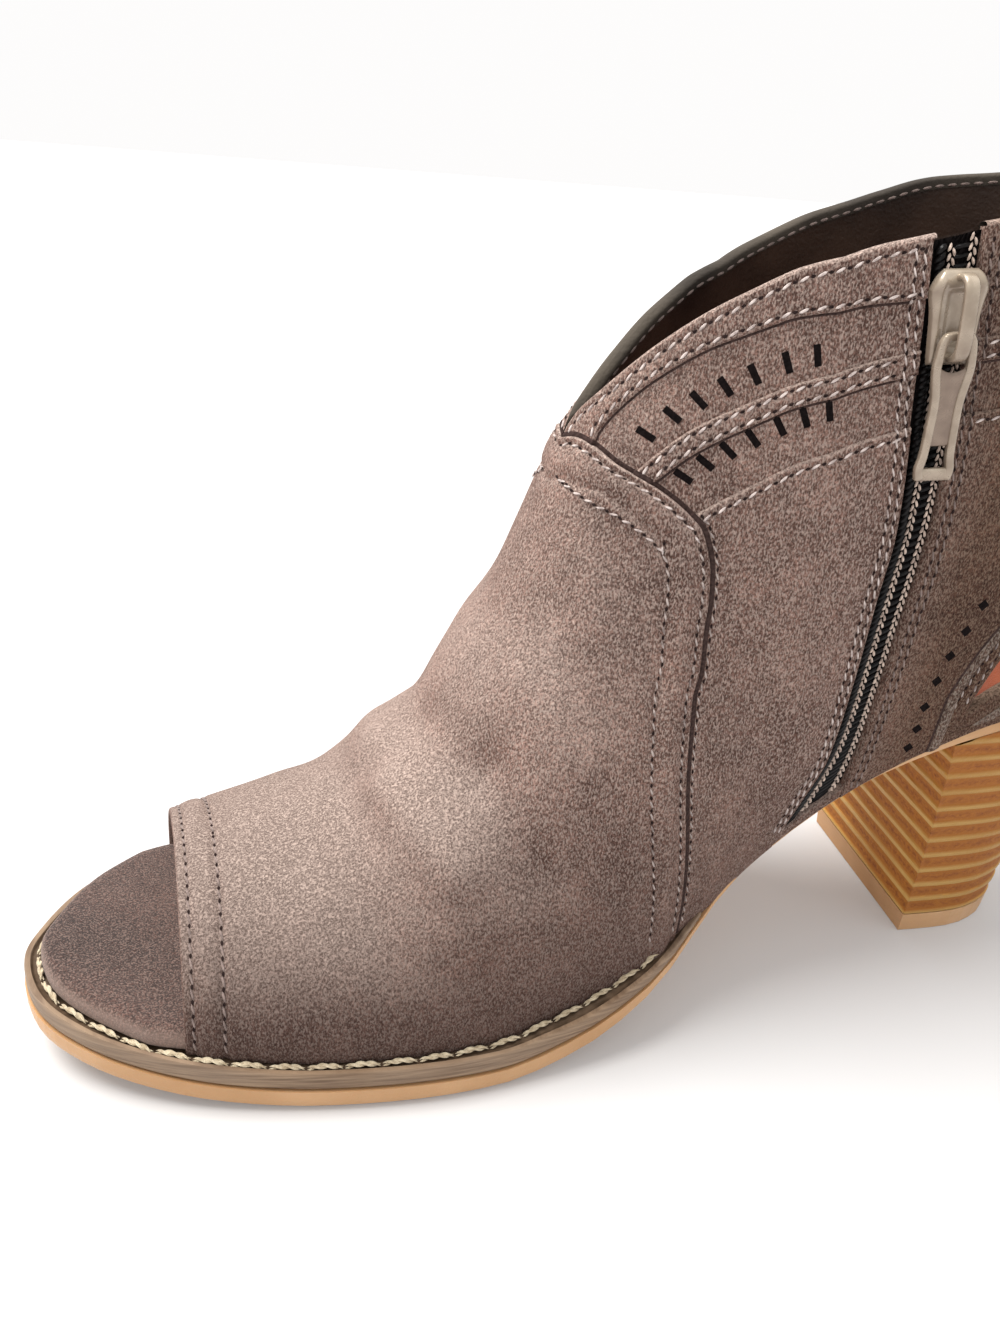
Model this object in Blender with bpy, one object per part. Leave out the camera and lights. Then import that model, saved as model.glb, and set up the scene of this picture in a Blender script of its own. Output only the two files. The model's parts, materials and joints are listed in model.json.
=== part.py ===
"""Peep toe ankle boot, right foot, on a stacked block heel.

Units are metres and +Z is up. The toe points along -X, the heel along +X,
the inner (medial) side faces -Y and the outer (lateral) side +Y.
While the pieces are worked out, x is the distance from the toe tip.
At the end everything is moved so that the floor is z = 0 under the middle.
"""

import math
from collections import namedtuple

import bpy
import bmesh
import numpy as np
from mathutils import Matrix, Vector
from mathutils.bvhtree import BVHTree

# Driving sizes
FOOT_LENGTH = 0.235
BALL_WIDTH = 0.090
HEEL_HEIGHT = 0.0695
SHAFT_RISE = 0.100

# Thicknesses and clearances
UPPER_WALL = 0.0020
OUTSOLE_THICK = 0.0046
WELT_THICK = 0.0040
WELT_END_THICK = 0.0012
WELT_SHOW = 0.0040
INSOLE_THICK = 0.0042
HEEL_TIP_THICK = 0.0052
GAP = 0.0003
SEAT_GAP = 0.0005
INSOLE_PLAY = 0.0009
EDGE_ANGLE = 35.0

# Where the insole draws in behind the toe opening, and the length it does so over
INSOLE_STEP_AHEAD = 0.006
INSOLE_STEP_LENGTH = 0.005

# Mesh densities
OUTSOLE_STATIONS = 60
WELT_STATIONS = 40
INSOLE_STATIONS = 48
RIBS_PER_ROW = 2
RIB_STEPS = 12
HEEL_SIDE_STEPS = 12
HEEL_LEVELS = 6

# Outline of the sole seen from above, as shares of length and ball width
Outline = namedtuple("Outline", "along medial lateral")
SOLE_OUTLINE = [
    Outline(0.000, 0.000, 0.000),
    Outline(0.012, 0.131, 0.099),
    Outline(0.050, 0.234, 0.261),
    Outline(0.120, 0.333, 0.391),
    Outline(0.220, 0.408, 0.478),
    Outline(0.320, 0.446, 0.515),
    Outline(0.400, 0.441, 0.525),
    Outline(0.500, 0.394, 0.490),
    Outline(0.600, 0.264, 0.425),
    Outline(0.700, 0.255, 0.365),
    Outline(0.800, 0.305, 0.330),
    Outline(0.900, 0.312, 0.318),
    Outline(0.965, 0.235, 0.240),
    Outline(1.000, 0.000, 0.000),
]

# Underside of the sole seen from the side, as shares of length and heel height
Profile = namedtuple("Profile", "along height")
SOLE_PROFILE = [
    Profile(0.00, 0.096),
    Profile(0.06, 0.053),
    Profile(0.15, 0.014),
    Profile(0.22, 0.000),
    Profile(0.36, 0.000),
    Profile(0.43, 0.042),
    Profile(0.52, 0.197),
    Profile(0.62, 0.450),
    Profile(0.72, 0.705),
    Profile(0.80, 0.842),
    Profile(1.00, 1.000),
]

# How far the upper stands inside the edge of the sole, in shares of WELT_SHOW
Margin = namedtuple("Margin", "along share")
FEATHER_MARGIN = [
    Margin(0.00, 1.25),
    Margin(0.06, 1.10),
    Margin(0.12, 0.75),
    Margin(0.30, 0.90),
    Margin(0.45, 1.20),
    Margin(0.52, 0.95),
    Margin(0.58, 0.15),
    Margin(0.70, 0.00),
    Margin(1.00, 0.00),
]
WELT_FULL_TO = 0.40
WELT_END = 0.56
WELT_FADE = 0.03
SLOPE_REACH = 0.004
SIDE_STEPS = 400

# Edge profiles of the three plates: inset of each level, and its share of the height
Level = namedtuple("Level", "inset share")
OUTSOLE_EDGE = [
    Level(0.0010, 0.00),
    Level(0.0002, 0.22),
    Level(0.0000, 0.50),
    Level(0.0000, 1.00),
]
WELT_EDGE = [
    Level(0.0006, 0.00),
    Level(0.0003, 0.20),
    Level(0.0003, 0.85),
    Level(0.0009, 1.00),
]
INSOLE_EDGE = [
    Level(0.0007, 0.00),
    Level(0.0001, 0.22),
    Level(0.0000, 0.45),
    Level(0.0009, 0.82),
    Level(0.0026, 1.00),
]

# The outsole thins under the waist, in shares of OUTSOLE_THICK
Thickness = namedtuple("Thickness", "along share")
OUTSOLE_THICKNESS = [
    Thickness(0.00, 1.00),
    Thickness(0.43, 1.00),
    Thickness(0.52, 0.62),
    Thickness(0.60, 0.36),
    Thickness(0.70, 0.36),
    Thickness(0.76, 0.62),
    Thickness(0.82, 0.95),
    Thickness(1.00, 1.00),
]

# Ribs of the upper, each a smooth curve from the sole to the ridge or the collar.
# foot and top are shares of length, rises are shares of SHAFT_RISE above the sole,
# sides and the out columns are shares of ball width, up and down shares of SHAFT_RISE,
# and turn is the way the rib faces, 0 to the side and 90 to the back.
Rib = namedtuple(
    "Rib",
    "foot top rise_medial rise_lateral side_medial side_lateral"
    " turn low_out low_up high_out high_down",
)
RIBS = [
    Rib(0.123, 0.127, 0.255, 0.255, 0.020, 0.020, 0, 0.016, 0.150, 0.190, 0.000),
    Rib(0.170, 0.172, 0.278, 0.278, 0.020, 0.020, 0, 0.026, 0.165, 0.210, 0.000),
    Rib(0.221, 0.221, 0.312, 0.312, 0.020, 0.020, 0, 0.032, 0.185, 0.225, 0.000),
    Rib(0.272, 0.272, 0.374, 0.374, 0.020, 0.020, 0, 0.032, 0.215, 0.220, 0.000),
    Rib(0.323, 0.321, 0.500, 0.500, 0.020, 0.020, 0, 0.028, 0.270, 0.205, 0.000),
    Rib(0.374, 0.368, 0.680, 0.680, 0.020, 0.020, 0, 0.018, 0.350, 0.185, 0.000),
    Rib(0.417, 0.404, 0.850, 0.850, 0.020, 0.020, 0, 0.012, 0.440, 0.165, 0.000),
    Rib(0.451, 0.427, 0.985, 0.985, 0.022, 0.022, 0, 0.010, 0.490, 0.145, 0.000),
    Rib(0.477, 0.438, 1.064, 1.064, 0.018, 0.030, 0, 0.010, 0.490, 0.125, 0.010),
    Rib(0.511, 0.452, 1.120, 1.086, -0.030, 0.068, 0, 0.022, 0.440, 0.105, 0.080),
    Rib(0.553, 0.485, 1.183, 1.130, -0.082, 0.124, 0, 0.045, 0.420, 0.090, 0.190),
    Rib(0.600, 0.528, 1.222, 1.167, -0.138, 0.180, 0, 0.080, 0.400, 0.065, 0.270),
    Rib(0.647, 0.592, 1.220, 1.165, -0.205, 0.246, 0, 0.085, 0.360, 0.045, 0.310),
    Rib(0.706, 0.668, 1.140, 1.099, -0.262, 0.308, 0, 0.055, 0.330, 0.024, 0.320),
    Rib(0.783, 0.766, 1.027, 1.007, -0.304, 0.344, 0, 0.034, 0.310, 0.012, 0.320),
    Rib(0.864, 0.851, 0.975, 0.970, -0.285, 0.330, 18, 0.030, 0.300, 0.008, 0.310),
    Rib(0.932, 0.911, 0.959, 0.961, -0.200, 0.236, 42, 0.020, 0.300, 0.010, 0.300),
    Rib(0.977, 0.949, 0.950, 0.950, -0.100, 0.134, 66, 0.010, 0.300, 0.020, 0.300),
    Rib(1.000, 0.962, 0.945, 0.945, 0.016, 0.016, 90, 0.004, 0.300, 0.026, 0.300),
]
THROAT_RIB = 8

# Middle line of the zip on the medial side: shares of length, and rises like the ribs'
ZipPoint = namedtuple("ZipPoint", "along rise")
ZIP_LINE = [
    ZipPoint(0.674, 0.055),
    ZipPoint(0.678, 0.160),
    ZipPoint(0.679, 0.320),
    ZipPoint(0.680, 0.480),
    ZipPoint(0.679, 0.640),
    ZipPoint(0.675, 0.820),
    ZipPoint(0.669, 1.000),
    ZipPoint(0.664, 1.240),
]
ZIP_WIDTH = 0.0070
ZIP_RECESS = 0.0004
ZIP_THICK = 0.0014
ZIP_COIL_RISE = 0.0003
ZIP_END_BELOW_COLLAR = 0.0012
ZIP_STEPS = 18
SLIDER_RISE = 1.015

# The slider's plate, drawn from its mouth up: half width, and share of half its length
SLIDER_HALF_LENGTH = 0.0075
SLIDER_STANDS = 0.0005
SLIDER_THICK = 0.0014
SLIDER_SOFT_EDGE = 0.0004
HalfWidth = namedtuple("HalfWidth", "half share")
SLIDER_OUTLINE = [
    HalfWidth(0.0039, -1.00),
    HalfWidth(0.0050, 0.55),
    HalfWidth(0.0036, 1.00),
]

# The bail, seen from the side: how far along the slider, and how far over its plate
BAIL_WIDTH = 0.0026
BailPoint = namedtuple("BailPoint", "along over")
BAIL_ARCH = [
    BailPoint(-0.00690, -0.00084),
    BailPoint(-0.00690, 0.00301),
    BailPoint(-0.00540, 0.00400),
    BailPoint(0.00330, 0.00400),
    BailPoint(0.00570, 0.00246),
    BailPoint(0.00645, -0.00084),
    BailPoint(0.00485, -0.00084),
    BailPoint(0.00448, 0.00202),
    BailPoint(0.00270, 0.00290),
    BailPoint(-0.00493, 0.00290),
    BailPoint(-0.00530, 0.00246),
    BailPoint(-0.00530, -0.00084),
]

# The pull tab, its pivot on the slider and the way it leans to the boot at rest
PIVOT_DOWN = 0.0030
PIVOT_OVER_PLATE = 0.0014
TAB_THICK = 0.0012
TAB_SOFT_EDGE = 0.0003
TAB_LEAN = 4.0
TabPoint = namedtuple("TabPoint", "half down")
TAB_OUTLINE = [
    TabPoint(0.0034, -0.0009),
    TabPoint(0.0039, 0.0054),
    TabPoint(0.0030, 0.0103),
    TabPoint(0.0032, 0.0196),
    TabPoint(0.0038, 0.0220),
    TabPoint(0.0036, 0.0245),
]
TabHole = namedtuple("TabHole", "name half top foot")
TAB_HOLES = [
    TabHole("eye_cutter", 0.00175, 0.00075, 0.0056),
    TabHole("window_cutter", 0.0017, 0.0180, 0.0212),
]

# Outline of the cut-out in front of the heel counter, on both sides of the boot
CutPoint = namedtuple("CutPoint", "along rise")
CUT_OUT_UPPER = [
    CutPoint(0.7800, 0.048),
    CutPoint(0.7850, 0.110),
    CutPoint(0.7960, 0.180),
    CutPoint(0.8130, 0.236),
    CutPoint(0.8370, 0.272),
    CutPoint(0.8640, 0.280),
    CutPoint(0.8900, 0.262),
    CutPoint(0.9060, 0.222),
    CutPoint(0.9090, 0.172),
]
CUT_OUT_LOWER = [
    CutPoint(0.9090, 0.172),
    CutPoint(0.8980, 0.150),
    CutPoint(0.8600, 0.112),
    CutPoint(0.8150, 0.080),
    CutPoint(0.7800, 0.048),
]
CUT_OUT_STEPS = 3
CUTTER_REACH = 0.060

# The block heel: its breast at the top and the floor, and its footprint
BREAST_TOP = 0.791
BREAST_SKEW = 0.026
BREAST_SLANT = 0.0085
HEEL_INSET = 0.0008
HEEL_FOOT_WIDTH = 0.80
HEEL_FOOT_SHIFT = 0.0016
HEEL_BACK_SLANT = 0.0050
HEEL_WAIST = 0.0010

# Colours as red, green, blue in linear light, with roughness
Finish = namedtuple("Finish", "colour roughness")
TAUPE_SUEDE = Finish((0.26, 0.17, 0.145), 0.95)
GUM_RUBBER = Finish((0.58, 0.33, 0.14), 0.6)
WELT_LEATHER = Finish((0.30, 0.20, 0.13), 0.7)
STACKED_LEATHER = Finish((0.45, 0.20, 0.07), 0.6)
LINING_SUEDE = Finish((0.14, 0.07, 0.055), 0.9)
ZIP_TAPE = Finish((0.03, 0.025, 0.025), 0.8)
ZIP_METAL = Finish((0.66, 0.56, 0.44), 0.35)


def remove_old_objects():
    """Empty the scene before the boot is built."""
    for old in list(bpy.data.objects):
        bpy.data.objects.remove(old, do_unlink=True)


def smooth_table(knots, values, at):
    """A smooth curve through table values (rows), read at the places in at."""
    knots = np.asarray(knots, float)
    values = np.asarray(values, float)
    at = np.clip(np.asarray(at, float), knots[0], knots[-1])
    steps = np.diff(knots)
    rises = np.diff(values, axis=0) / steps[:, None]
    slopes = np.zeros_like(values)
    slopes[0] = rises[0]
    slopes[-1] = rises[-1]
    weights = (steps[:-1] / (steps[:-1] + steps[1:]))[:, None]
    slopes[1:-1] = rises[:-1] * (1 - weights) + rises[1:] * weights
    return hermite(knots, values, slopes, at)


def level_table(knots, values, at):
    """Like smooth_table for one column, but never past the table's own values."""
    knots = np.asarray(knots, float)
    values = np.asarray(values, float)
    at = np.clip(np.asarray(at, float), knots[0], knots[-1])
    rises = np.diff(values) / np.diff(knots)
    slopes = np.zeros_like(values)
    for i in range(1, len(values) - 1):
        before, after = rises[i - 1], rises[i]
        if before * after > 0:
            slopes[i] = 2 * before * after / (before + after)
    slopes[0] = rises[0]
    slopes[-1] = rises[-1]
    return hermite(knots, values[:, None], slopes[:, None], at)[:, 0]


def hermite(knots, values, slopes, at):
    """Cubic pieces between knots with the given values and slopes."""
    at = np.atleast_1d(at)
    k = np.clip(np.searchsorted(knots, at, side="right") - 1, 0, len(knots) - 2)
    step = (knots[k + 1] - knots[k])[:, None]
    s = ((at - knots[k])[:, None]) / step
    return (
        values[k] * (2 * s**3 - 3 * s**2 + 1)
        + slopes[k] * step * (s**3 - 2 * s**2 + s)
        + values[k + 1] * (3 * s**2 - 2 * s**3)
        + slopes[k + 1] * step * (s**3 - s**2)
    )


def sole_underside(x):
    """Height of the outsole's underside at distance x from the toe."""
    along = [row.along * FOOT_LENGTH for row in SOLE_PROFILE]
    height = [row.height * HEEL_HEIGHT for row in SOLE_PROFILE]
    return level_table(along, height, x)


def slope_factor(x):
    """How much a plate of even thickness measures upright where the sole slopes."""
    ahead = sole_underside(np.asarray(x) + SLOPE_REACH)
    behind = sole_underside(np.asarray(x) - SLOPE_REACH)
    return np.sqrt(1 + ((ahead - behind) / (2 * SLOPE_REACH)) ** 2)


def welt_upright(x):
    """Upright thickness of the welt, which thins to its end at the waist."""
    along = [0.0, WELT_FULL_TO * FOOT_LENGTH, WELT_END * FOOT_LENGTH]
    thick = [WELT_THICK, WELT_THICK, WELT_END_THICK]
    return np.interp(x, along, thick) * slope_factor(x)


def outsole_top(x):
    """Height of the outsole's upper face."""
    along = [row.along * FOOT_LENGTH for row in OUTSOLE_THICKNESS]
    share = [row.share for row in OUTSOLE_THICKNESS]
    thick = OUTSOLE_THICK * level_table(along, share, x)
    return sole_underside(x) + thick * slope_factor(x)


def seat(x):
    """Height of the surface that the upper and the insole stand on."""
    x = np.asarray(x, float)
    end = WELT_END * FOOT_LENGTH
    fade = WELT_FADE * FOOT_LENGTH
    over_welt = np.clip((end + fade - x) / fade, 0, 1)
    return outsole_top(x) + (welt_upright(x) + GAP) * over_welt


def outline_side(side, inset=None):
    """Points of one side of the sole's outline, toe tip to heel back, moved inward."""
    rows = SOLE_OUTLINE
    x = np.array([row.along for row in rows]) * FOOT_LENGTH
    medial = -np.array([row.medial for row in rows]) * BALL_WIDTH
    lateral = np.array([row.lateral for row in rows]) * BALL_WIDTH
    loop_x = np.concatenate([x, x[-2:0:-1]])
    loop_y = np.concatenate([medial, lateral[-2:0:-1]])
    count = len(loop_x)
    wrap = 4
    order = [i % count for i in range(-wrap, count + wrap + 1)]
    points = np.c_[loop_x[order], loop_y[order]]
    knots = np.concatenate([[0], np.cumsum(np.sqrt(np.hypot(*np.diff(points, axis=0).T)))])
    heel = wrap + len(x) - 1
    if side < 0:
        first, last = wrap, heel
    else:
        first, last = heel, wrap + count
    at = np.linspace(knots[first], knots[last], SIDE_STEPS)
    curve = smooth_table(knots, points, at)
    if side > 0:
        curve = curve[::-1]
    if inset is None:
        return curve
    ahead = np.gradient(curve, axis=0)
    ahead /= np.hypot(*ahead.T)[:, None]
    ahead[0] = (0, side)
    ahead[-1] = (0, -side)
    inward = np.c_[side * ahead[:, 1], -side * ahead[:, 0]]
    return curve + inward * inset(curve[:, 0])[:, None]


def side_at(curve, x):
    """The y of a side curve at distance x from the toe."""
    order = np.argsort(curve[:, 0], kind="stable")
    return np.interp(x, curve[order, 0], curve[order, 1])


def station_weights(count, round_end):
    """Places from 0 to 1, closer together at the round toe and, if asked, the heel."""
    step = np.linspace(0, 1, count + 1)
    if round_end:
        return (1 - np.cos(math.pi * step)) / 2
    return 1 - np.cos(math.pi * step / 2)


def plate_level(inset, height, count, end=None):
    """Medial and lateral edge points of a plate at one level over the sole."""
    medial = outline_side(-1, inset)
    lateral = outline_side(1, inset)
    tip = max(medial[0, 0], lateral[0, 0])
    stop = min(medial[-1, 0], lateral[-1, 0]) if end is None else end
    x = tip + (stop - tip) * station_weights(count, end is None)
    y_medial = side_at(medial, x)
    y_lateral = side_at(lateral, x)
    y_medial[0] = y_lateral[0] = (medial[0, 1] + lateral[0, 1]) / 2
    if end is None:
        y_medial[-1] = y_lateral[-1] = (medial[-1, 1] + lateral[-1, 1]) / 2
    z = height(x)
    return np.c_[x, y_medial, z], np.c_[x, y_lateral, z]


def build_plate(name, levels, finish, open_end=False):
    """A closed plate from its levels, bottom first; both ends may be round."""
    mesh = bmesh.new()
    rings = []
    for medial, lateral in levels:
        near = [mesh.verts.new(p) for p in medial]
        far = [near[0]]
        far += [mesh.verts.new(p) for p in (lateral[1:] if open_end else lateral[1:-1])]
        if not open_end:
            far.append(near[-1])
        rings.append((near, far))
    for low, high in zip(rings[:-1], rings[1:]):
        for below, above in zip(low, high):
            for i in range(len(below) - 1):
                add_face(mesh, [below[i], below[i + 1], above[i + 1], above[i]])
        if open_end:
            add_face(mesh, [low[0][-1], low[1][-1], high[1][-1], high[0][-1]])
    for near, far in (rings[0], rings[-1]):
        for i in range(len(near) - 1):
            add_face(mesh, [near[i], near[i + 1], far[i + 1], far[i]])
    return finish_object(name, mesh, finish)


def add_face(mesh, corners):
    """A face from its corners, with repeated corners left out."""
    kept = []
    for corner in corners:
        if corner not in kept:
            kept.append(corner)
    if len(kept) > 2:
        mesh.faces.new(kept)


def finish_object(name, mesh, finish):
    """Turn a bmesh into a named, smooth shaded object with its own material."""
    bmesh.ops.recalc_face_normals(mesh, faces=mesh.faces)
    bmesh.ops.triangulate(mesh, faces=[f for f in mesh.faces if len(f.verts) > 3])
    if mesh.calc_volume(signed=True) < 0:
        bmesh.ops.reverse_faces(mesh, faces=mesh.faces)
    data = bpy.data.meshes.new(name)
    mesh.to_mesh(data)
    mesh.free()
    data.shade_smooth()
    data.set_sharp_from_angle(angle=math.radians(EDGE_ANGLE))
    piece = bpy.data.objects.new(name, data)
    bpy.context.scene.collection.objects.link(piece)
    data.materials.append(make_material(name, finish))
    return piece


def make_material(name, finish):
    """A plain surface of one colour and roughness."""
    material = bpy.data.materials.new(name)
    material.use_nodes = True
    shader = material.node_tree.nodes["Principled BSDF"]
    shader.inputs["Base Color"].default_value = (*finish.colour, 1)
    shader.inputs["Roughness"].default_value = finish.roughness
    return material


def feather_inset(x):
    """How far inside the sole's edge the upper meets it, at distance x from the toe."""
    along = [row.along * FOOT_LENGTH for row in FEATHER_MARGIN]
    share = [row.share * WELT_SHOW for row in FEATHER_MARGIN]
    return level_table(along, share, x)


def build_outsole():
    """The full length rubber sole, with a slightly rounded edge."""
    levels = []
    for inset, share in OUTSOLE_EDGE:
        levels.append(
            plate_level(
                lambda x, inset=inset: np.full_like(x, inset),
                lambda x, share=share: sole_underside(x) * (1 - share) + outsole_top(x) * share,
                OUTSOLE_STATIONS,
            )
        )
    return build_plate("outsole", levels, GUM_RUBBER)


def build_welt():
    """The midsole and welt layer under the front half of the upper."""
    levels = []
    for inset, share in WELT_EDGE:
        levels.append(
            plate_level(
                lambda x, inset=inset: np.full_like(x, inset),
                lambda x, share=share: outsole_top(x) + GAP + welt_upright(x) * share,
                WELT_STATIONS,
                end=WELT_END * FOOT_LENGTH,
            )
        )
    return build_plate("welt", levels, WELT_LEATHER, open_end=True)


def insole_inset(x):
    """The insole fills the toe opening and lies inside the wall behind it."""
    opening = RIBS[0].foot * FOOT_LENGTH
    inside = UPPER_WALL + INSOLE_PLAY
    drawn_in = np.clip((x - opening + INSOLE_STEP_AHEAD) / INSOLE_STEP_LENGTH, 0, 1)
    return feather_inset(x) + inside * drawn_in


def build_insole():
    """The padded insole, rolled over at its edge where the toe opening shows it."""
    levels = []
    for inset, share in INSOLE_EDGE:
        levels.append(
            plate_level(
                lambda x, inset=inset: insole_inset(x) + inset,
                lambda x, share=share: seat(x) + SEAT_GAP + INSOLE_THICK * share,
                INSOLE_STATIONS,
            )
        )
    return build_plate("insole", levels, LINING_SUEDE)


def heel_outline(depth):
    """Heel points at a depth from 0 at the sole to 1 at the floor, both sides."""
    sides = []
    for side in (-1, 1):
        curve = outline_side(side, lambda x: np.full_like(x, HEEL_INSET))
        skew = 0 if side < 0 else BREAST_SKEW * FOOT_LENGTH
        front = BREAST_TOP * FOOT_LENGTH + skew
        back = curve[-1, 0]
        steps = np.sin(np.linspace(0, math.pi / 2, HEEL_SIDE_STEPS + 1))
        x = front + (back - front) * steps
        y = side_at(curve, x)
        y[-1] = 0
        share = (x - front) / (back - front)
        slant = BREAST_SLANT * (1 - share) - HEEL_BACK_SLANT * share
        pinch = HEEL_WAIST * 4 * depth * (1 - depth)
        width = 1 + (HEEL_FOOT_WIDTH - 1) * depth
        x = x + slant * depth - pinch * share + pinch * (1 - share)
        y = y * width + HEEL_FOOT_SHIFT * depth - side * pinch * np.abs(y) / BALL_WIDTH
        sides.append(np.c_[x, y])
    return sides


def build_heel_part(name, z_low, z_high, levels, finish):
    """A slice of the block heel between two surfaces given as functions of x."""
    rings = []
    for share in np.linspace(0, 1, levels + 1):
        ring = []
        top_sides = heel_outline(0)
        for k in (0, 1):
            top_x = top_sides[k][:, 0]
            under = sole_underside(top_x) - GAP
            z = z_low(top_x) * (1 - share) + z_high(top_x) * share
            depth = 1 - z / under
            points = []
            for i in range(len(top_x)):
                side_points = heel_outline(depth[i])[k]
                points.append((side_points[i, 0], side_points[i, 1], z[i]))
            ring.append(points)
        rings.append(ring)
    mesh = bmesh.new()
    built = []
    for medial, lateral in rings:
        near = [mesh.verts.new(p) for p in medial]
        far = [mesh.verts.new(p) for p in lateral[:-1]] + [near[-1]]
        built.append((near, far))
    for low, high in zip(built[:-1], built[1:]):
        for below, above in zip(low, high):
            for i in range(len(below) - 1):
                add_face(mesh, [below[i], below[i + 1], above[i + 1], above[i]])
        add_face(mesh, [low[0][0], low[1][0], high[1][0], high[0][0]])
    for near, far in (built[0], built[-1]):
        for i in range(len(near) - 1):
            add_face(mesh, [near[i], near[i + 1], far[i + 1], far[i]])
    return finish_object(name, mesh, finish)


def build_heel():
    """The stacked block and, under it, its separate top lift."""
    block = build_heel_part(
        "heel_block",
        lambda x: np.full_like(x, HEEL_TIP_THICK + GAP),
        lambda x: sole_underside(x) - GAP,
        HEEL_LEVELS,
        STACKED_LEATHER,
    )
    lift = build_heel_part(
        "heel_tip",
        lambda x: np.zeros_like(x),
        lambda x: np.full_like(x, HEEL_TIP_THICK),
        1,
        GUM_RUBBER,
    )
    return block, lift


def rib_places():
    """Row numbers, whole at the table's ribs and even between them."""
    return np.linspace(0, len(RIBS) - 1, (len(RIBS) - 1) * RIBS_PER_ROW + 1)


def upper_ribs(side, places):
    """Points of the outer surface, one row of points for each rib place."""
    table = np.array(RIBS)
    values = smooth_table(np.arange(len(RIBS)), table, places)
    column = dict(zip(Rib._fields, values.T))
    curve = outline_side(side, feather_inset)
    shares = np.linspace(0, 1, len(curve))
    foot_x = np.clip(column["foot"] * FOOT_LENGTH, curve[0, 0], curve[-1, 0])
    place = np.interp(foot_x, curve[:, 0], shares)
    foot = np.c_[np.interp(place, shares, curve[:, 0]), np.interp(place, shares, curve[:, 1])]
    name = "medial" if side < 0 else "lateral"
    rise = column["rise_" + name] * SHAFT_RISE
    top_x = column["top"] * FOOT_LENGTH
    top_y = column["side_" + name] * BALL_WIDTH
    turn = np.radians(column["turn"])
    out = np.c_[np.sin(turn), side * np.cos(turn)]
    p0 = np.c_[foot, seat(foot[:, 0]) + SEAT_GAP]
    p3 = np.c_[top_x, top_y, seat(top_x) + rise]
    p1 = p0 + np.c_[
        out * (column["low_out"] * BALL_WIDTH)[:, None],
        column["low_up"] * SHAFT_RISE,
    ]
    p2 = p3 + np.c_[
        out * (column["high_out"] * BALL_WIDTH)[:, None],
        -column["high_down"] * SHAFT_RISE,
    ]
    v = np.linspace(0, 1, RIB_STEPS + 1)[None, :, None]
    p0, p1, p2, p3 = (p[:, None, :] for p in (p0, p1, p2, p3))
    return p0 * (1 - v) ** 3 + 3 * p1 * v * (1 - v) ** 2 + 3 * p2 * v**2 * (1 - v) + p3 * v**3


def upper_skin():
    """The outer surface as one open mesh: vertices, faces and their grid of numbers."""
    places = rib_places()
    throat = THROAT_RIB * RIBS_PER_ROW
    last = len(places) - 1
    grids = {side: upper_ribs(side, places) for side in (-1, 1)}
    points = []
    number = {}
    for side in (-1, 1):
        for i in range(last + 1):
            for j in range(RIB_STEPS + 1):
                shared = (j == RIB_STEPS and i <= throat) or i == last
                if side > 0 and shared:
                    number[side, i, j] = number[-1, i, j]
                    continue
                number[side, i, j] = len(points)
                points.append(grids[side][i, j])
    faces = []
    for side in (-1, 1):
        for i in range(last):
            for j in range(RIB_STEPS):
                corner = [(i, j), (i + 1, j), (i + 1, j + 1), (i, j + 1)]
                face = [number[side, a, b] for a, b in corner]
                faces.append(face if side < 0 else face[::-1])
    return np.array(points), faces, number, throat, last


def skin_normals(points, faces):
    """Outward directions at the vertices of the skin."""
    normals = np.zeros_like(points)
    for face in faces:
        a, b, c, d = (points[k] for k in face)
        direction = np.cross(c - a, d - b)
        for k in face:
            normals[k] += direction
    length = np.linalg.norm(normals, axis=1)[:, None]
    return normals / np.maximum(length, 1e-12)


def build_upper():
    """The hollow upper: its skin, an inner skin one wall inside, and the rims."""
    points, faces, number, throat, last = upper_skin()
    normals = skin_normals(points, faces)
    inner = points - normals * UPPER_WALL
    for side in (-1, 1):
        for i in range(last + 1):
            k = number[side, i, 0]
            inner[k, 2] = height_at(inner[k, 0], 0) + SEAT_GAP
        for j in range(RIB_STEPS + 1):
            k = number[side, 0, j]
            inner[k, 0] = points[k, 0]
    mesh = bmesh.new()
    outside = [mesh.verts.new(p) for p in points]
    inside = [mesh.verts.new(p) for p in inner]
    for face in faces:
        add_face(mesh, [outside[k] for k in face])
        add_face(mesh, [inside[k] for k in reversed(face)])
    for side in (-1, 1):
        rims = [[number[side, i, 0] for i in range(last + 1)]]
        rims.append([number[side, 0, j] for j in range(RIB_STEPS + 1)])
        rims.append([number[side, i, RIB_STEPS] for i in range(throat, last + 1)])
        for rim in rims:
            for a, b in zip(rim[:-1], rim[1:]):
                add_face(mesh, [outside[a], outside[b], inside[b], inside[a]])
    return finish_object("upper", mesh, TAUPE_SUEDE)


def height_at(x, rise):
    """Height of a place that is given by its rise above the sole at x."""
    return float(seat(np.array([x]))[0]) + rise * SHAFT_RISE


def side_view_line(rows, steps):
    """A smooth line in the side view through rows of along and rise."""
    knots = np.arange(len(rows))
    values = np.array([(row.along * FOOT_LENGTH, row.rise) for row in rows])
    line = smooth_table(knots, values, np.linspace(0, len(rows) - 1, steps + 1))
    return np.array([(x, height_at(x, rise)) for x, rise in line])


def skin_tree():
    """The outer surface as a tree that rays can be cast at."""
    points, faces = upper_skin()[:2]
    return BVHTree.FromPolygons([tuple(p) for p in points], faces)


def on_skin(tree, x, z):
    """Where the medial outer surface lies at x and z of the side view."""
    return tree.ray_cast(Vector((x, -2 * CUTTER_REACH, z)), Vector((0, 1, 0)))[:2]


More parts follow.
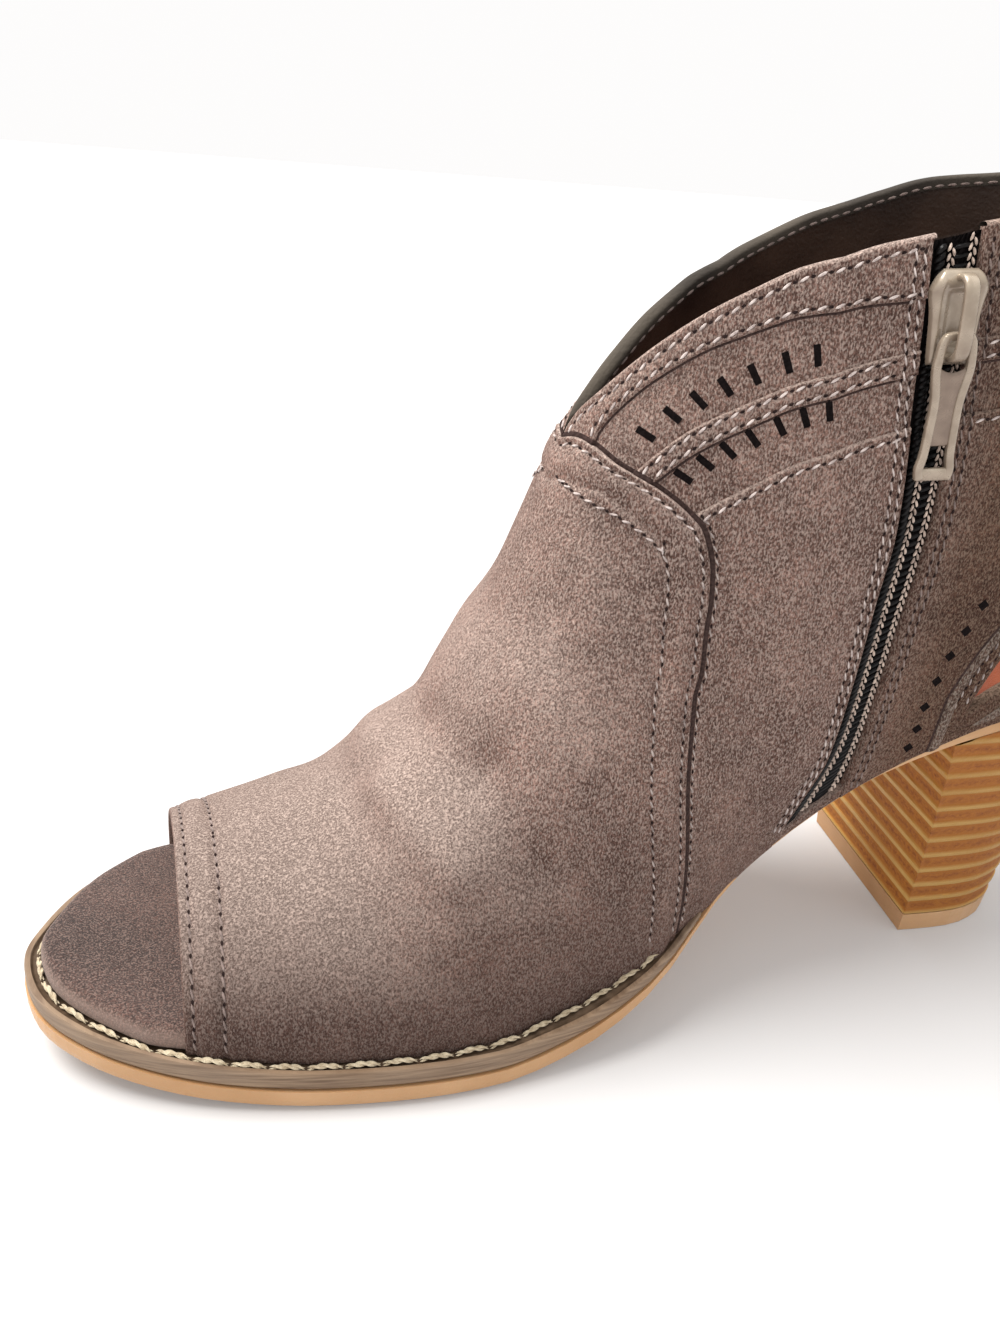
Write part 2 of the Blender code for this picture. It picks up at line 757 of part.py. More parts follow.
def cutter(name, outline, y_from, y_to):
    """A straight prism along Y over an outline of the side view, used only to cut."""
    mesh = bmesh.new()
    front = [mesh.verts.new((x, y_from, z)) for x, z in outline]
    back = [mesh.verts.new((x, y_to, z)) for x, z in outline]
    mesh.faces.new(front)
    mesh.faces.new(back[::-1])
    for i in range(len(outline)):
        k = (i + 1) % len(outline)
        mesh.faces.new([front[k], front[i], back[i], back[k]])
    shape = finish_object(name, mesh, TAUPE_SUEDE)
    shape.hide_render = True
    shape.display_type = "WIRE"
    return shape


def cut(piece, tool, operation="DIFFERENCE"):
    """Cut one piece with another, or join them when asked for a union."""
    modifier = piece.modifiers.new(tool.name, "BOOLEAN")
    modifier.operation = operation
    modifier.object = tool
    modifier.solver = "EXACT"


def collar_height(x):
    """Height of the medial collar over x in the side view."""
    places = np.linspace(THROAT_RIB, len(RIBS) - 1, 60)
    edge = upper_ribs(-1, places)[:, -1]
    return float(np.interp(x, edge[:, 0], edge[:, 2]))


def zip_line(to_collar):
    """Points up the middle of the zip, past the collar or just short of it."""
    line = side_view_line(ZIP_LINE, 8 * ZIP_STEPS)
    if to_collar:
        top = [collar_height(x) - ZIP_END_BELOW_COLLAR for x, z in line]
        line = line[line[:, 1] < np.array(top)]
    at = np.linspace(0, len(line) - 1, ZIP_STEPS + 1)
    number = np.arange(len(line))
    return np.c_[np.interp(at, number, line[:, 0]), np.interp(at, number, line[:, 1])]


def zip_edges(half_width, to_collar=False):
    """Left and right edges of the zip in the side view, its middle and its cross way."""
    line = zip_line(to_collar)
    ahead = np.gradient(line, axis=0)
    ahead /= np.hypot(*ahead.T)[:, None]
    across = np.c_[ahead[:, 1], -ahead[:, 0]]
    return line - across * half_width, line + across * half_width, line, across


def cut_upper_openings(upper):
    """Cut the zip's slit on the medial side and a cut-out on both sides."""
    left, right = zip_edges(ZIP_WIDTH / 2)[:2]
    slit = cutter("zip_slit_cutter", [*left, *right[::-1]], -CUTTER_REACH, -0.2 * CUTTER_REACH)
    upper_edge = side_view_line(CUT_OUT_UPPER, CUT_OUT_STEPS * (len(CUT_OUT_UPPER) - 1))
    lower_edge = side_view_line(CUT_OUT_LOWER, CUT_OUT_STEPS * (len(CUT_OUT_LOWER) - 1))
    outline = [*upper_edge[:-1], *lower_edge[:-1]]
    window = cutter("cut_out_cutter", outline, -CUTTER_REACH, CUTTER_REACH)
    cut(upper, slit)
    cut(upper, window)


def build_zip_tape(tree):
    """The closed zip: tape and coil as one strip that fills the slit."""
    line, across = zip_edges(0, to_collar=True)[2:]
    shares = (-1.0, -0.45, 0.0, 0.45, 1.0)
    lifts = (0.0, ZIP_COIL_RISE, ZIP_COIL_RISE, ZIP_COIL_RISE, 0.0)
    reach = ZIP_WIDTH / 2 - GAP
    rows = []
    for (x, z), (across_x, across_z) in zip(line, across):
        outer = []
        for share, lift in zip(shares, lifts):
            place = (x + across_x * reach * share, z + across_z * reach * share)
            hit = on_skin(tree, *place)[0]
            outer.append((hit.x, hit.y + ZIP_RECESS - lift, hit.z))
        rows.append(outer)
    rows[0] = [(x, y, z + GAP) for x, y, z in rows[0]]
    mesh = bmesh.new()
    grid = []
    for outer in rows:
        behind = max(y for x, y, z in outer) + ZIP_THICK
        ring = [mesh.verts.new(p) for p in outer]
        ring.append(mesh.verts.new((outer[-1][0], behind, outer[-1][2])))
        ring.append(mesh.verts.new((outer[0][0], behind, outer[0][2])))
        grid.append(ring)
    for low, high in zip(grid[:-1], grid[1:]):
        for i in range(len(low)):
            k = (i + 1) % len(low)
            mesh.faces.new([low[i], low[k], high[k], high[i]])
    mesh.faces.new(grid[0][::-1])
    mesh.faces.new(grid[-1])
    return finish_object("zip_tape", mesh, ZIP_TAPE)


def slider_frame(tree):
    """An empty on the zip: X across it, Y up along it and Z out of the boot."""
    line = side_view_line(ZIP_LINE, 4 * ZIP_STEPS)
    rises = [(z - height_at(x, 0)) / SHAFT_RISE for x, z in line]
    k = int(np.argmin(np.abs(np.array(rises) - SLIDER_RISE)))
    centre, normal = on_skin(tree, *line[k])
    below = on_skin(tree, *line[k - 4])[0]
    if normal.y > 0:
        normal = -normal
    up = (centre - below).normalized()
    side = up.cross(normal).normalized()
    up = normal.cross(side).normalized()
    frame = bpy.data.objects.new("zip_frame", None)
    bpy.context.scene.collection.objects.link(frame)
    turn = Matrix((side, up, normal)).transposed()
    frame.matrix_basis = Matrix.Translation(centre) @ turn.to_4x4()
    return frame


def extruded(name, outline, low, high, finish, axis="Z"):
    """A solid from an outline, drawn in XY or in YZ, between two levels."""
    mesh = bmesh.new()
    rings = []
    for level in (low, high):
        if axis == "Z":
            rings.append([mesh.verts.new((u, v, level)) for u, v in outline])
        else:
            rings.append([mesh.verts.new((level, u, v)) for u, v in outline])
    for i in range(len(outline)):
        k = (i + 1) % len(outline)
        mesh.faces.new([rings[0][i], rings[0][k], rings[1][k], rings[1][i]])
    mesh.faces.new(rings[0][::-1])
    mesh.faces.new(rings[1])
    return finish_object(name, mesh, finish)


def soften(piece, width):
    """Round the sharp edges of a small piece."""
    bevel = piece.modifiers.new("soft_edges", "BEVEL")
    bevel.width = width
    bevel.segments = 2
    bevel.limit_method = "ANGLE"
    bevel.angle_limit = math.radians(40)


def build_slider(frame):
    """The slider's plate with its bail, the arch that carries the pull tab."""
    top = SLIDER_STANDS + SLIDER_THICK
    right = [(row.half, row.share * SLIDER_HALF_LENGTH) for row in SLIDER_OUTLINE]
    left = [(-half, along) for half, along in reversed(right)]
    plate = extruded("zip_slider", right + left, SLIDER_STANDS, top, ZIP_METAL)
    soften(plate, SLIDER_SOFT_EDGE)
    arch = [(row.along, top + row.over) for row in BAIL_ARCH]
    bail = extruded("bail_shape", arch, -BAIL_WIDTH / 2, BAIL_WIDTH / 2, ZIP_METAL, "X")
    bail.hide_render = True
    bail.display_type = "WIRE"
    cut(plate, bail, "UNION")
    plate.parent = frame
    bail.parent = frame
    return plate


def build_pull(frame):
    """The pull tab, hung by its eye on the bail, with a window near its end."""
    right = [(row.half, -row.down) for row in TAB_OUTLINE]
    left = [(-half, along) for half, along in reversed(right)]
    tab = extruded("zip_pull", right + left, -TAB_THICK / 2, TAB_THICK / 2, ZIP_METAL)
    soften(tab, TAB_SOFT_EDGE)
    for name, half, top, foot in TAB_HOLES:
        corners = [(-half, -foot), (half, -foot), (half, -top), (-half, -top)]
        hole = extruded(name, corners, -TAB_THICK, TAB_THICK, ZIP_METAL)
        hole.hide_render = True
        hole.display_type = "WIRE"
        cut(tab, hole)
        hole.parent = tab
    tab.parent = frame
    tab.location = (0, -PIVOT_DOWN, SLIDER_STANDS + SLIDER_THICK + PIVOT_OVER_PLATE)
    tab.rotation_euler = (math.radians(TAB_LEAN), 0, 0)
    return tab


def set_on_origin(pieces):
    """Hang everything on one empty that puts the floor's middle at the origin."""
    bpy.context.view_layer.update()
    low = np.full(3, np.inf)
    high = np.full(3, -np.inf)
    for piece in pieces:
        for corner in piece.data.vertices:
            place = np.array(piece.matrix_world @ corner.co)
            low = np.minimum(low, place)
            high = np.maximum(high, place)
    root = bpy.data.objects.new("boot_root", None)
    bpy.context.scene.collection.objects.link(root)
    middle = (low + high) / 2
    root.location = (-middle[0], -middle[1], -low[2])
    for thing in list(bpy.data.objects):
        if thing.parent is None and thing is not root:
            thing.parent = root
    bpy.context.view_layer.update()


def main():
    """Build every piece of the boot and set it on the floor."""
    remove_old_objects()
    pieces = [build_outsole(), build_welt(), build_insole()]
    pieces += build_heel()
    upper = build_upper()
    cut_upper_openings(upper)
    pieces.append(upper)
    tree = skin_tree()
    pieces.append(build_zip_tape(tree))
    frame = slider_frame(tree)
    pieces.append(build_slider(frame))
    pieces.append(build_pull(frame))
    set_on_origin(pieces)


main()
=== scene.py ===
"""Looks of the peep toe ankle boot: suede panels, stitches, zip, welt and stacked heel.

Everything is in metres in the row frame. The shape functions work with x as the
distance from the toe tip, and ORIGIN moves their points into the row frame.
"""

import json
import math
from collections import namedtuple

import bpy
import numpy as np
from mathutils import Matrix, Quaternion, Vector


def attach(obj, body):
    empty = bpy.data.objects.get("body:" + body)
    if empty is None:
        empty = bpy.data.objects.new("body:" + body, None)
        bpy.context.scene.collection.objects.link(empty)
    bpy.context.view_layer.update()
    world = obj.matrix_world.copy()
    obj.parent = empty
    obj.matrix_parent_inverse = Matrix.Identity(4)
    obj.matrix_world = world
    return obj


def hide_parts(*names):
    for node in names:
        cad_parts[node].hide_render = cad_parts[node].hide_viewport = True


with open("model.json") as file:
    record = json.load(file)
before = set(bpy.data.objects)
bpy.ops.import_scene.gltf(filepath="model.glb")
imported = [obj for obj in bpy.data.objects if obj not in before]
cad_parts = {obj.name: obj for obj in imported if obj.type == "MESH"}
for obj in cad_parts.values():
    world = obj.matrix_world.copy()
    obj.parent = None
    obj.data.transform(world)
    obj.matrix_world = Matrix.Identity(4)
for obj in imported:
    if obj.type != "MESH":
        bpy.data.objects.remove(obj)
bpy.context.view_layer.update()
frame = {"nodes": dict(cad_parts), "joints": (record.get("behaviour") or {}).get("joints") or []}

ORIGIN = np.array([-0.1175, -0.003469, 0.0])
MM = 0.001
SIDE_NAMES = {-1: "medial", 1: "lateral"}

# Driving sizes
FOOT_LENGTH = 0.235
BALL_WIDTH = 0.090
HEEL_HEIGHT = 0.0695
SHAFT_RISE = 0.100

# Thicknesses and clearances
UPPER_WALL = 0.0020
OUTSOLE_THICK = 0.0046
WELT_THICK = 0.0040
WELT_END_THICK = 0.0012
WELT_SHOW = 0.0040
INSOLE_THICK = 0.0042
HEEL_TIP_THICK = 0.0052
GAP = 0.0003
SEAT_GAP = 0.0005
INSOLE_PLAY = 0.0009

# Outline of the sole seen from above, as shares of length and ball width
Outline = namedtuple("Outline", "along medial lateral")
SOLE_OUTLINE = [Outline(*row) for row in (
    (0, 0, 0), (0.012, 0.131, 0.099), (0.05, 0.234, 0.261), (0.12, 0.333, 0.391),
    (0.22, 0.408, 0.478), (0.32, 0.446, 0.515), (0.4, 0.441, 0.525), (0.5, 0.394, 0.49),
    (0.6, 0.264, 0.425), (0.7, 0.255, 0.365), (0.8, 0.305, 0.33), (0.9, 0.312, 0.318),
    (0.965, 0.235, 0.24), (1, 0, 0),
)]

# Underside of the sole seen from the side, as shares of length and heel height
Profile = namedtuple("Profile", "along height")
SOLE_PROFILE = [Profile(*row) for row in (
    (0, 0.096), (0.06, 0.053), (0.15, 0.014), (0.22, 0), (0.36, 0), (0.43, 0.042),
    (0.52, 0.197), (0.62, 0.45), (0.72, 0.705), (0.8, 0.842), (1, 1),
)]

# How far the upper stands inside the edge of the sole, in shares of WELT_SHOW
Margin = namedtuple("Margin", "along share")
FEATHER_MARGIN = [Margin(*row) for row in (
    (0, 1.25), (0.06, 1.1), (0.12, 0.75), (0.3, 0.9), (0.45, 1.2), (0.52, 0.95), (0.58, 0.15),
    (0.7, 0), (1, 0),
)]
WELT_FULL_TO = 0.40
WELT_END = 0.56
WELT_FADE = 0.03
SLOPE_REACH = 0.004
SIDE_STEPS = 1200

# The outsole thins under the waist, in shares of OUTSOLE_THICK
Thickness = namedtuple("Thickness", "along share")
OUTSOLE_THICKNESS = [Thickness(*row) for row in (
    (0, 1), (0.43, 1), (0.52, 0.62), (0.6, 0.36), (0.7, 0.36), (0.76, 0.62), (0.82, 0.95),
    (1, 1),
)]

# Ribs of the upper, each a smooth curve from the sole to the ridge or the collar.
# foot and top are shares of length, rises are shares of SHAFT_RISE above the sole,
# sides and the out columns are shares of ball width, up and down shares of SHAFT_RISE,
# and turn is the way the rib faces, 0 to the side and 90 to the back.
Rib = namedtuple(
    "Rib",
    "foot top rise_medial rise_lateral side_medial side_lateral"
    " turn low_out low_up high_out high_down",
)
RIBS = [Rib(*row) for row in (
    (0.123, 0.127, 0.255, 0.255, 0.02, 0.02, 0, 0.016, 0.15, 0.19, 0),
    (0.17, 0.172, 0.278, 0.278, 0.02, 0.02, 0, 0.026, 0.165, 0.21, 0),
    (0.221, 0.221, 0.312, 0.312, 0.02, 0.02, 0, 0.032, 0.185, 0.225, 0),
    (0.272, 0.272, 0.374, 0.374, 0.02, 0.02, 0, 0.032, 0.215, 0.22, 0),
    (0.323, 0.321, 0.5, 0.5, 0.02, 0.02, 0, 0.028, 0.27, 0.205, 0),
    (0.374, 0.368, 0.68, 0.68, 0.02, 0.02, 0, 0.018, 0.35, 0.185, 0),
    (0.417, 0.404, 0.85, 0.85, 0.02, 0.02, 0, 0.012, 0.44, 0.165, 0),
    (0.451, 0.427, 0.985, 0.985, 0.022, 0.022, 0, 0.01, 0.49, 0.145, 0),
    (0.477, 0.438, 1.064, 1.064, 0.018, 0.03, 0, 0.01, 0.49, 0.125, 0.01),
    (0.511, 0.452, 1.12, 1.086, -0.03, 0.068, 0, 0.022, 0.44, 0.105, 0.08),
    (0.553, 0.485, 1.183, 1.13, -0.082, 0.124, 0, 0.045, 0.42, 0.09, 0.19),
    (0.6, 0.528, 1.222, 1.167, -0.138, 0.18, 0, 0.08, 0.4, 0.065, 0.27),
    (0.647, 0.592, 1.22, 1.165, -0.205, 0.246, 0, 0.085, 0.36, 0.045, 0.31),
    (0.706, 0.668, 1.14, 1.099, -0.262, 0.308, 0, 0.055, 0.33, 0.024, 0.32),
    (0.783, 0.766, 1.027, 1.007, -0.304, 0.344, 0, 0.034, 0.31, 0.012, 0.32),
    (0.864, 0.851, 0.975, 0.97, -0.285, 0.33, 18, 0.03, 0.3, 0.008, 0.31),
    (0.932, 0.911, 0.959, 0.961, -0.2, 0.236, 42, 0.02, 0.3, 0.01, 0.3),
    (0.977, 0.949, 0.95, 0.95, -0.1, 0.134, 66, 0.01, 0.3, 0.02, 0.3),
    (1, 0.962, 0.945, 0.945, 0.016, 0.016, 90, 0.004, 0.3, 0.026, 0.3),
)]

# Outline of the cut-out in front of the heel counter, on both sides of the boot
CutPoint = namedtuple("CutPoint", "along rise")
CUT_OUT_UPPER = [CutPoint(*row) for row in (
    (0.78, 0.048), (0.785, 0.11), (0.796, 0.18), (0.813, 0.236), (0.837, 0.272), (0.864, 0.28),
    (0.89, 0.262), (0.906, 0.222), (0.909, 0.172),
)]
CUT_OUT_LOWER = [CutPoint(*row) for row in (
    (0.909, 0.172), (0.898, 0.15), (0.86, 0.112), (0.815, 0.08), (0.78, 0.048),
)]
# The block heel: its breast at the top and the floor, and its footprint
BREAST_TOP = 0.791
BREAST_SKEW = 0.026
BREAST_SLANT = 0.0085
HEEL_INSET = 0.0008
HEEL_FOOT_WIDTH = 0.80
HEEL_FOOT_SHIFT = 0.0016
HEEL_BACK_SLANT = 0.0050
HEEL_WAIST = 0.0010


def smooth_table(knots, values, at):
    """A smooth curve through table values (rows), read at the places in at."""
    knots = np.asarray(knots, float)
    values = np.asarray(values, float)
    at = np.clip(np.asarray(at, float), knots[0], knots[-1])
    steps = np.diff(knots)
    rises = np.diff(values, axis=0) / steps[:, None]
    slopes = np.zeros_like(values)
    slopes[0] = rises[0]
    slopes[-1] = rises[-1]
    weights = (steps[:-1] / (steps[:-1] + steps[1:]))[:, None]
    slopes[1:-1] = rises[:-1] * (1 - weights) + rises[1:] * weights
    return hermite(knots, values, slopes, at)


def level_table(knots, values, at):
    """Like smooth_table for one column, but never past the table's own values."""
    knots = np.asarray(knots, float)
    values = np.asarray(values, float)
    at = np.clip(np.asarray(at, float), knots[0], knots[-1])
    rises = np.diff(values) / np.diff(knots)
    slopes = np.zeros_like(values)
    for i in range(1, len(values) - 1):
        before, after = rises[i - 1], rises[i]
        if before * after > 0:
            slopes[i] = 2 * before * after / (before + after)
    slopes[0] = rises[0]
    slopes[-1] = rises[-1]
    return hermite(knots, values[:, None], slopes[:, None], at)[:, 0]


def hermite(knots, values, slopes, at):
    """Cubic pieces between knots with the given values and slopes."""
    at = np.atleast_1d(at)
    k = np.clip(np.searchsorted(knots, at, side="right") - 1, 0, len(knots) - 2)
    step = (knots[k + 1] - knots[k])[:, None]
    s = ((at - knots[k])[:, None]) / step
    return (
        values[k] * (2 * s**3 - 3 * s**2 + 1)
        + slopes[k] * step * (s**3 - 2 * s**2 + s)
        + values[k + 1] * (3 * s**2 - 2 * s**3)
        + slopes[k + 1] * step * (s**3 - s**2)
    )


def along_sole(rows, x, scale=1.0):
    """The second column of a table, read at distance x from the toe."""
    places, values = np.array(rows).T
    return level_table(places * FOOT_LENGTH, values * scale, x)


def sole_underside(x):
    """Height of the outsole's underside at distance x from the toe."""
    return along_sole(SOLE_PROFILE, x, HEEL_HEIGHT)


def slope_factor(x):
    """How much a plate of even thickness measures upright where the sole slopes."""
    ahead = sole_underside(np.asarray(x) + SLOPE_REACH)
    behind = sole_underside(np.asarray(x) - SLOPE_REACH)
    return np.sqrt(1 + ((ahead - behind) / (2 * SLOPE_REACH)) ** 2)


def welt_upright(x):
    """Upright thickness of the welt, which thins to its end at the waist."""
    along = [0.0, WELT_FULL_TO * FOOT_LENGTH, WELT_END * FOOT_LENGTH]
    thick = [WELT_THICK, WELT_THICK, WELT_END_THICK]
    return np.interp(x, along, thick) * slope_factor(x)


def outsole_top(x):
    """Height of the outsole's upper face."""
    thick = OUTSOLE_THICK * along_sole(OUTSOLE_THICKNESS, x)
    return sole_underside(x) + thick * slope_factor(x)


def seat(x):
    """Height of the surface that the upper and the insole stand on."""
    x = np.asarray(x, float)
    end = WELT_END * FOOT_LENGTH
    fade = WELT_FADE * FOOT_LENGTH
    over_welt = np.clip((end + fade - x) / fade, 0, 1)
    return outsole_top(x) + (welt_upright(x) + GAP) * over_welt


def outline_side(side, inset):
    """Points of one side of the sole's outline, toe tip to heel back, moved inward."""
    along, medial, lateral = np.array(SOLE_OUTLINE).T
    x = along * FOOT_LENGTH
    loop_x = np.concatenate([x, x[-2:0:-1]])
    loop_y = np.concatenate([-medial, lateral[-2:0:-1]]) * BALL_WIDTH
    count = len(loop_x)
    wrap = 4
    order = [i % count for i in range(-wrap, count + wrap + 1)]
    points = np.c_[loop_x[order], loop_y[order]]
    knots = np.concatenate([[0], np.cumsum(np.sqrt(np.hypot(*np.diff(points, axis=0).T)))])
    heel = wrap + len(x) - 1
    if side < 0:
        first, last = wrap, heel
    else:
        first, last = heel, wrap + count
    at = np.linspace(knots[first], knots[last], SIDE_STEPS)
    curve = smooth_table(knots, points, at)
    if side > 0:
        curve = curve[::-1]
    ahead = np.gradient(curve, axis=0)
    ahead /= np.hypot(*ahead.T)[:, None]
    ahead[0] = (0, side)
    ahead[-1] = (0, -side)
    inward = np.c_[side * ahead[:, 1], -side * ahead[:, 0]]
    return curve + inward * inset(curve[:, 0])[:, None]


def side_at(curve, x):
    """The y of a side curve at distance x from the toe."""
    order = np.argsort(curve[:, 0], kind="stable")
    return np.interp(x, curve[order, 0], curve[order, 1])


def plate_level(inset, height, count):
    """Medial and lateral edge points of a plate at one level over the sole."""
    curves = [outline_side(side, inset) for side in (-1, 1)]
    tip = max(curve[0, 0] for curve in curves)
    stop = min(curve[-1, 0] for curve in curves)
    # Closer together at the round toe and heel
    x = tip + (stop - tip) * (1 - np.cos(math.pi * np.linspace(0, 1, count + 1))) / 2
    across = [side_at(curve, x) for curve in curves]
    for end in (0, -1):
        across[0][end] = across[1][end] = (curves[0][end, 1] + curves[1][end, 1]) / 2
    return [np.c_[x, y, height(x)] for y in across]


def feather_inset(x):
    """How far inside the sole's edge the upper meets it, at distance x from the toe."""
    return along_sole(FEATHER_MARGIN, x, WELT_SHOW)


# Seams of the upper, as rib number and share of the way up the rib
Seam = namedtuple("Seam", "rib up")
VAMP_EDGE = [Seam(*row) for row in (
    (9.5, 0), (9.5, 0.045), (9.47, 0.235), (9.73, 0.398), (9.9, 0.43), (10.07, 0.488),
    (10.25, 0.54), (10.33, 0.59), (10.28, 0.638), (10.05, 0.675), (9.57, 0.73), (8.87, 0.795),
    (8.15, 0.88), (7.75, 0.96), (7.62, 1),
)]
BAND_EDGE = [Seam(*row) for row in (
    (8, 0.79), (8.37, 0.848), (8.73, 0.882), (9.33, 0.912), (9.8, 0.925), (10.6, 0.932),
    (11.4, 0.926), (12.1, 0.917), (12.77, 0.905), (14, 0.9), (18, 0.9),
)]
STRIP_TOP = [Seam(*row) for row in (
    (8.9, 0.745), (9.7, 0.784), (10.33, 0.806), (11.37, 0.82), (12.6, 0.828), (14, 0.822),
    (18, 0.822),
)]
STRIP_FOOT = [Seam(*row) for row in (
    (8.9, 0.7), (9.6, 0.735), (10.3, 0.762), (11, 0.776), (11.9, 0.786), (12.57, 0.789),
    (14, 0.782), (18, 0.782),
)]
LOWER_TOP = [Seam(*row) for row in (
    (9.4, 0.64), (10.17, 0.668), (11.13, 0.69), (11.77, 0.703), (12.37, 0.709), (12.73, 0.709),
    (14, 0.7), (18, 0.7),
)]
ZIP_FRONT = [Seam(*row) for row in (
    (11.75, 0), (12.03, 0.07), (12.3, 0.145), (12.48, 0.295), (12.62, 0.425), (12.76, 0.542),
    (12.78, 0.64), (12.77, 0.85), (12.72, 1),
)]
ZIP_REAR = [Seam(*row) for row in (
    (12.76, 0), (12.8, 0.052), (12.87, 0.198), (12.98, 0.355), (13.08, 0.458), (13.14, 0.578),
    (13.15, 0.678), (13.14, 0.85), (13.1, 1),
)]

# Middles of the slots and diamonds in the suede, shown as dark openings
UPPER_SLOTS = [Seam(*row) for row in (
    (9.57, 0.826), (10.03, 0.842), (10.45, 0.85), (10.83, 0.856), (11.17, 0.859), (11.5, 0.858),
    (11.79, 0.858),
)]
LOWER_SLOTS = [Seam(*row) for row in (
    (10.07, 0.732), (10.45, 0.744), (10.8, 0.753), (11.12, 0.76), (11.42, 0.764),
    (11.68, 0.767), (11.93, 0.77),
)]
DIAMONDS = [Seam(*row) for row in (
    (13.48, 0.032), (13.5, 0.078), (13.5, 0.132), (13.54, 0.188), (13.6, 0.238), (13.69, 0.283),
    (13.79, 0.328),
)]

# Creases from one seam point to another: width and depth in mm, minus for a trough
Crease = namedtuple("Crease", "rib up to_rib to_up width depth")
CREASES = [Crease(*row) for row in (
    (2.9, 1, 3.05, 0.8, 6, -0.58), (4.05, 0.98, 4.6, 0.62, 6.5, -1.24),
    (3.35, 0.86, 4.1, 0.46, 5, 1.5), (4.65, 0.6, 5.4, 0.3, 7, -1.35),
    (2.1, 0.8, 2.8, 0.48, 7, -1.05), (1.35, 0.92, 2.1, 0.62, 6, 0.41),
    (5.3, 0.95, 6.1, 0.7, 7, -0.58), (5.6, 0.62, 6.4, 0.4, 7, 0.9),
    (3.2, 0.3, 4.6, 0.16, 6, -0.75), (6.8, 0.5, 7.6, 0.2, 8, -0.9),
    (10.7, 0.55, 11.1, 0.25, 7, -0.75), (11.3, 0.5, 11.8, 0.18, 6, 0.6),
    (14.2, 0.62, 15.6, 0.55, 7, -0.75), (14.6, 0.48, 16.2, 0.44, 7, 0.6),
)]

# How far layers stand over the skin, in mm
VAMP_LIFT = 1.25
VAMP_TOE_LIFT = 0.30
BAND_LIFT = 0.75
STRIP_LIFT = 0.75
LOWER_LIFT = 0.75
LINING_DEPTH = 1.60

CURVES = {side: outline_side(side, feather_inset) for side in (-1, 1)}
RIB_TABLE = np.array(RIBS)
LAST_RIB = len(RIBS) - 1.0


def skin(side, rib, up):
    """Points of the upper's outer surface at rib numbers and shares of the way up."""
    rib, up = np.broadcast_arrays(np.asarray(rib, float), np.asarray(up, float))
    values = smooth_table(np.arange(len(RIBS)), RIB_TABLE, rib.ravel())
    column = dict(zip(Rib._fields, values.T))
    curve = CURVES[side]
    foot_x = np.clip(column["foot"] * FOOT_LENGTH, curve[0, 0], curve[-1, 0])
    foot_y = np.interp(foot_x, curve[:, 0], curve[:, 1])
    name = SIDE_NAMES[side]
    top_x = column["top"] * FOOT_LENGTH
    turn = np.radians(column["turn"])
    out = np.c_[np.sin(turn), side * np.cos(turn)]
    p0 = np.c_[foot_x, foot_y, seat(foot_x) + SEAT_GAP]
    top_y = column["side_" + name] * BALL_WIDTH
    p3 = np.c_[top_x, top_y, seat(top_x) + column["rise_" + name] * SHAFT_RISE]
    p1 = p0 + np.c_[
        out * (column["low_out"] * BALL_WIDTH)[:, None], column["low_up"] * SHAFT_RISE
    ]
    p2 = p3 + np.c_[
        out * (column["high_out"] * BALL_WIDTH)[:, None], -column["high_down"] * SHAFT_RISE
    ]
    v = up.ravel()[:, None]
    points = p0 * (1 - v) ** 3 + 3 * p1 * v * (1 - v) ** 2 + 3 * p2 * v**2 * (1 - v) + p3 * v**3
    return points.reshape(*rib.shape, 3) + ORIGIN


def skin_slopes(side, rib, up):
    """How the surface runs along the ribs' row and up a rib, and its outward normal."""
    rib, up = np.broadcast_arrays(np.asarray(rib, float), np.asarray(up, float))
    step, rise = 0.04, 0.004
    low, high = np.maximum(rib - step, 0), np.minimum(rib + step, LAST_RIB)
    along = (skin(side, high, up) - skin(side, low, up)) / (high - low)[..., None]
    upward = (skin(side, rib, up + rise) - skin(side, rib, up - rise)) / (2 * rise)
    normal = np.cross(along, upward) * -side
    normal /= np.maximum(np.linalg.norm(normal, axis=-1, keepdims=True), 1e-12)
    return along, upward, normal


def crease_table():
    """Ends of the creases as points, with widths and depths in metres."""
    rows = []
    for side in (-1, 1):
        for c in CREASES:
            start, end = skin(side, c.rib, c.up), skin(side, c.to_rib, c.to_up)
            rows.append((start, end, c.width * MM, c.depth * MM * (1.0 if side < 0 else 0.8)))
    return rows


CREASE_ENDS = crease_table()


def relief(points):
    """Height of the creases over the plain skin, in metres."""
    total = np.zeros(points.shape[:-1])
    for start, end, width, depth in CREASE_ENDS:
        way = end - start
        share = np.clip(((points - start) @ way) / (way @ way), 0, 1)
        away = np.linalg.norm(points - start - share[..., None] * way, axis=-1)
        total += depth * np.exp(-((away / width) ** 2))
    return total


def raised(side, rib, up, height):
    """Surface points lifted by height in mm, creases included."""
    points = skin(side, rib, up)
    normal = skin_slopes(side, rib, up)[2]
    lift = relief(points) + np.asarray(height) * MM
    return points + normal * lift[..., None]


def seam_rib(rows, up):
    """Rib number of a seam that runs up the boot."""
    order = sorted(rows, key=lambda row: row.up)
    return level_table([r.up for r in order], [r.rib for r in order], up)


def seam_up(rows, rib):
    """Share of the way up of a seam that runs along the boot."""
    return level_table([r.rib for r in rows], [r.up for r in rows], rib)


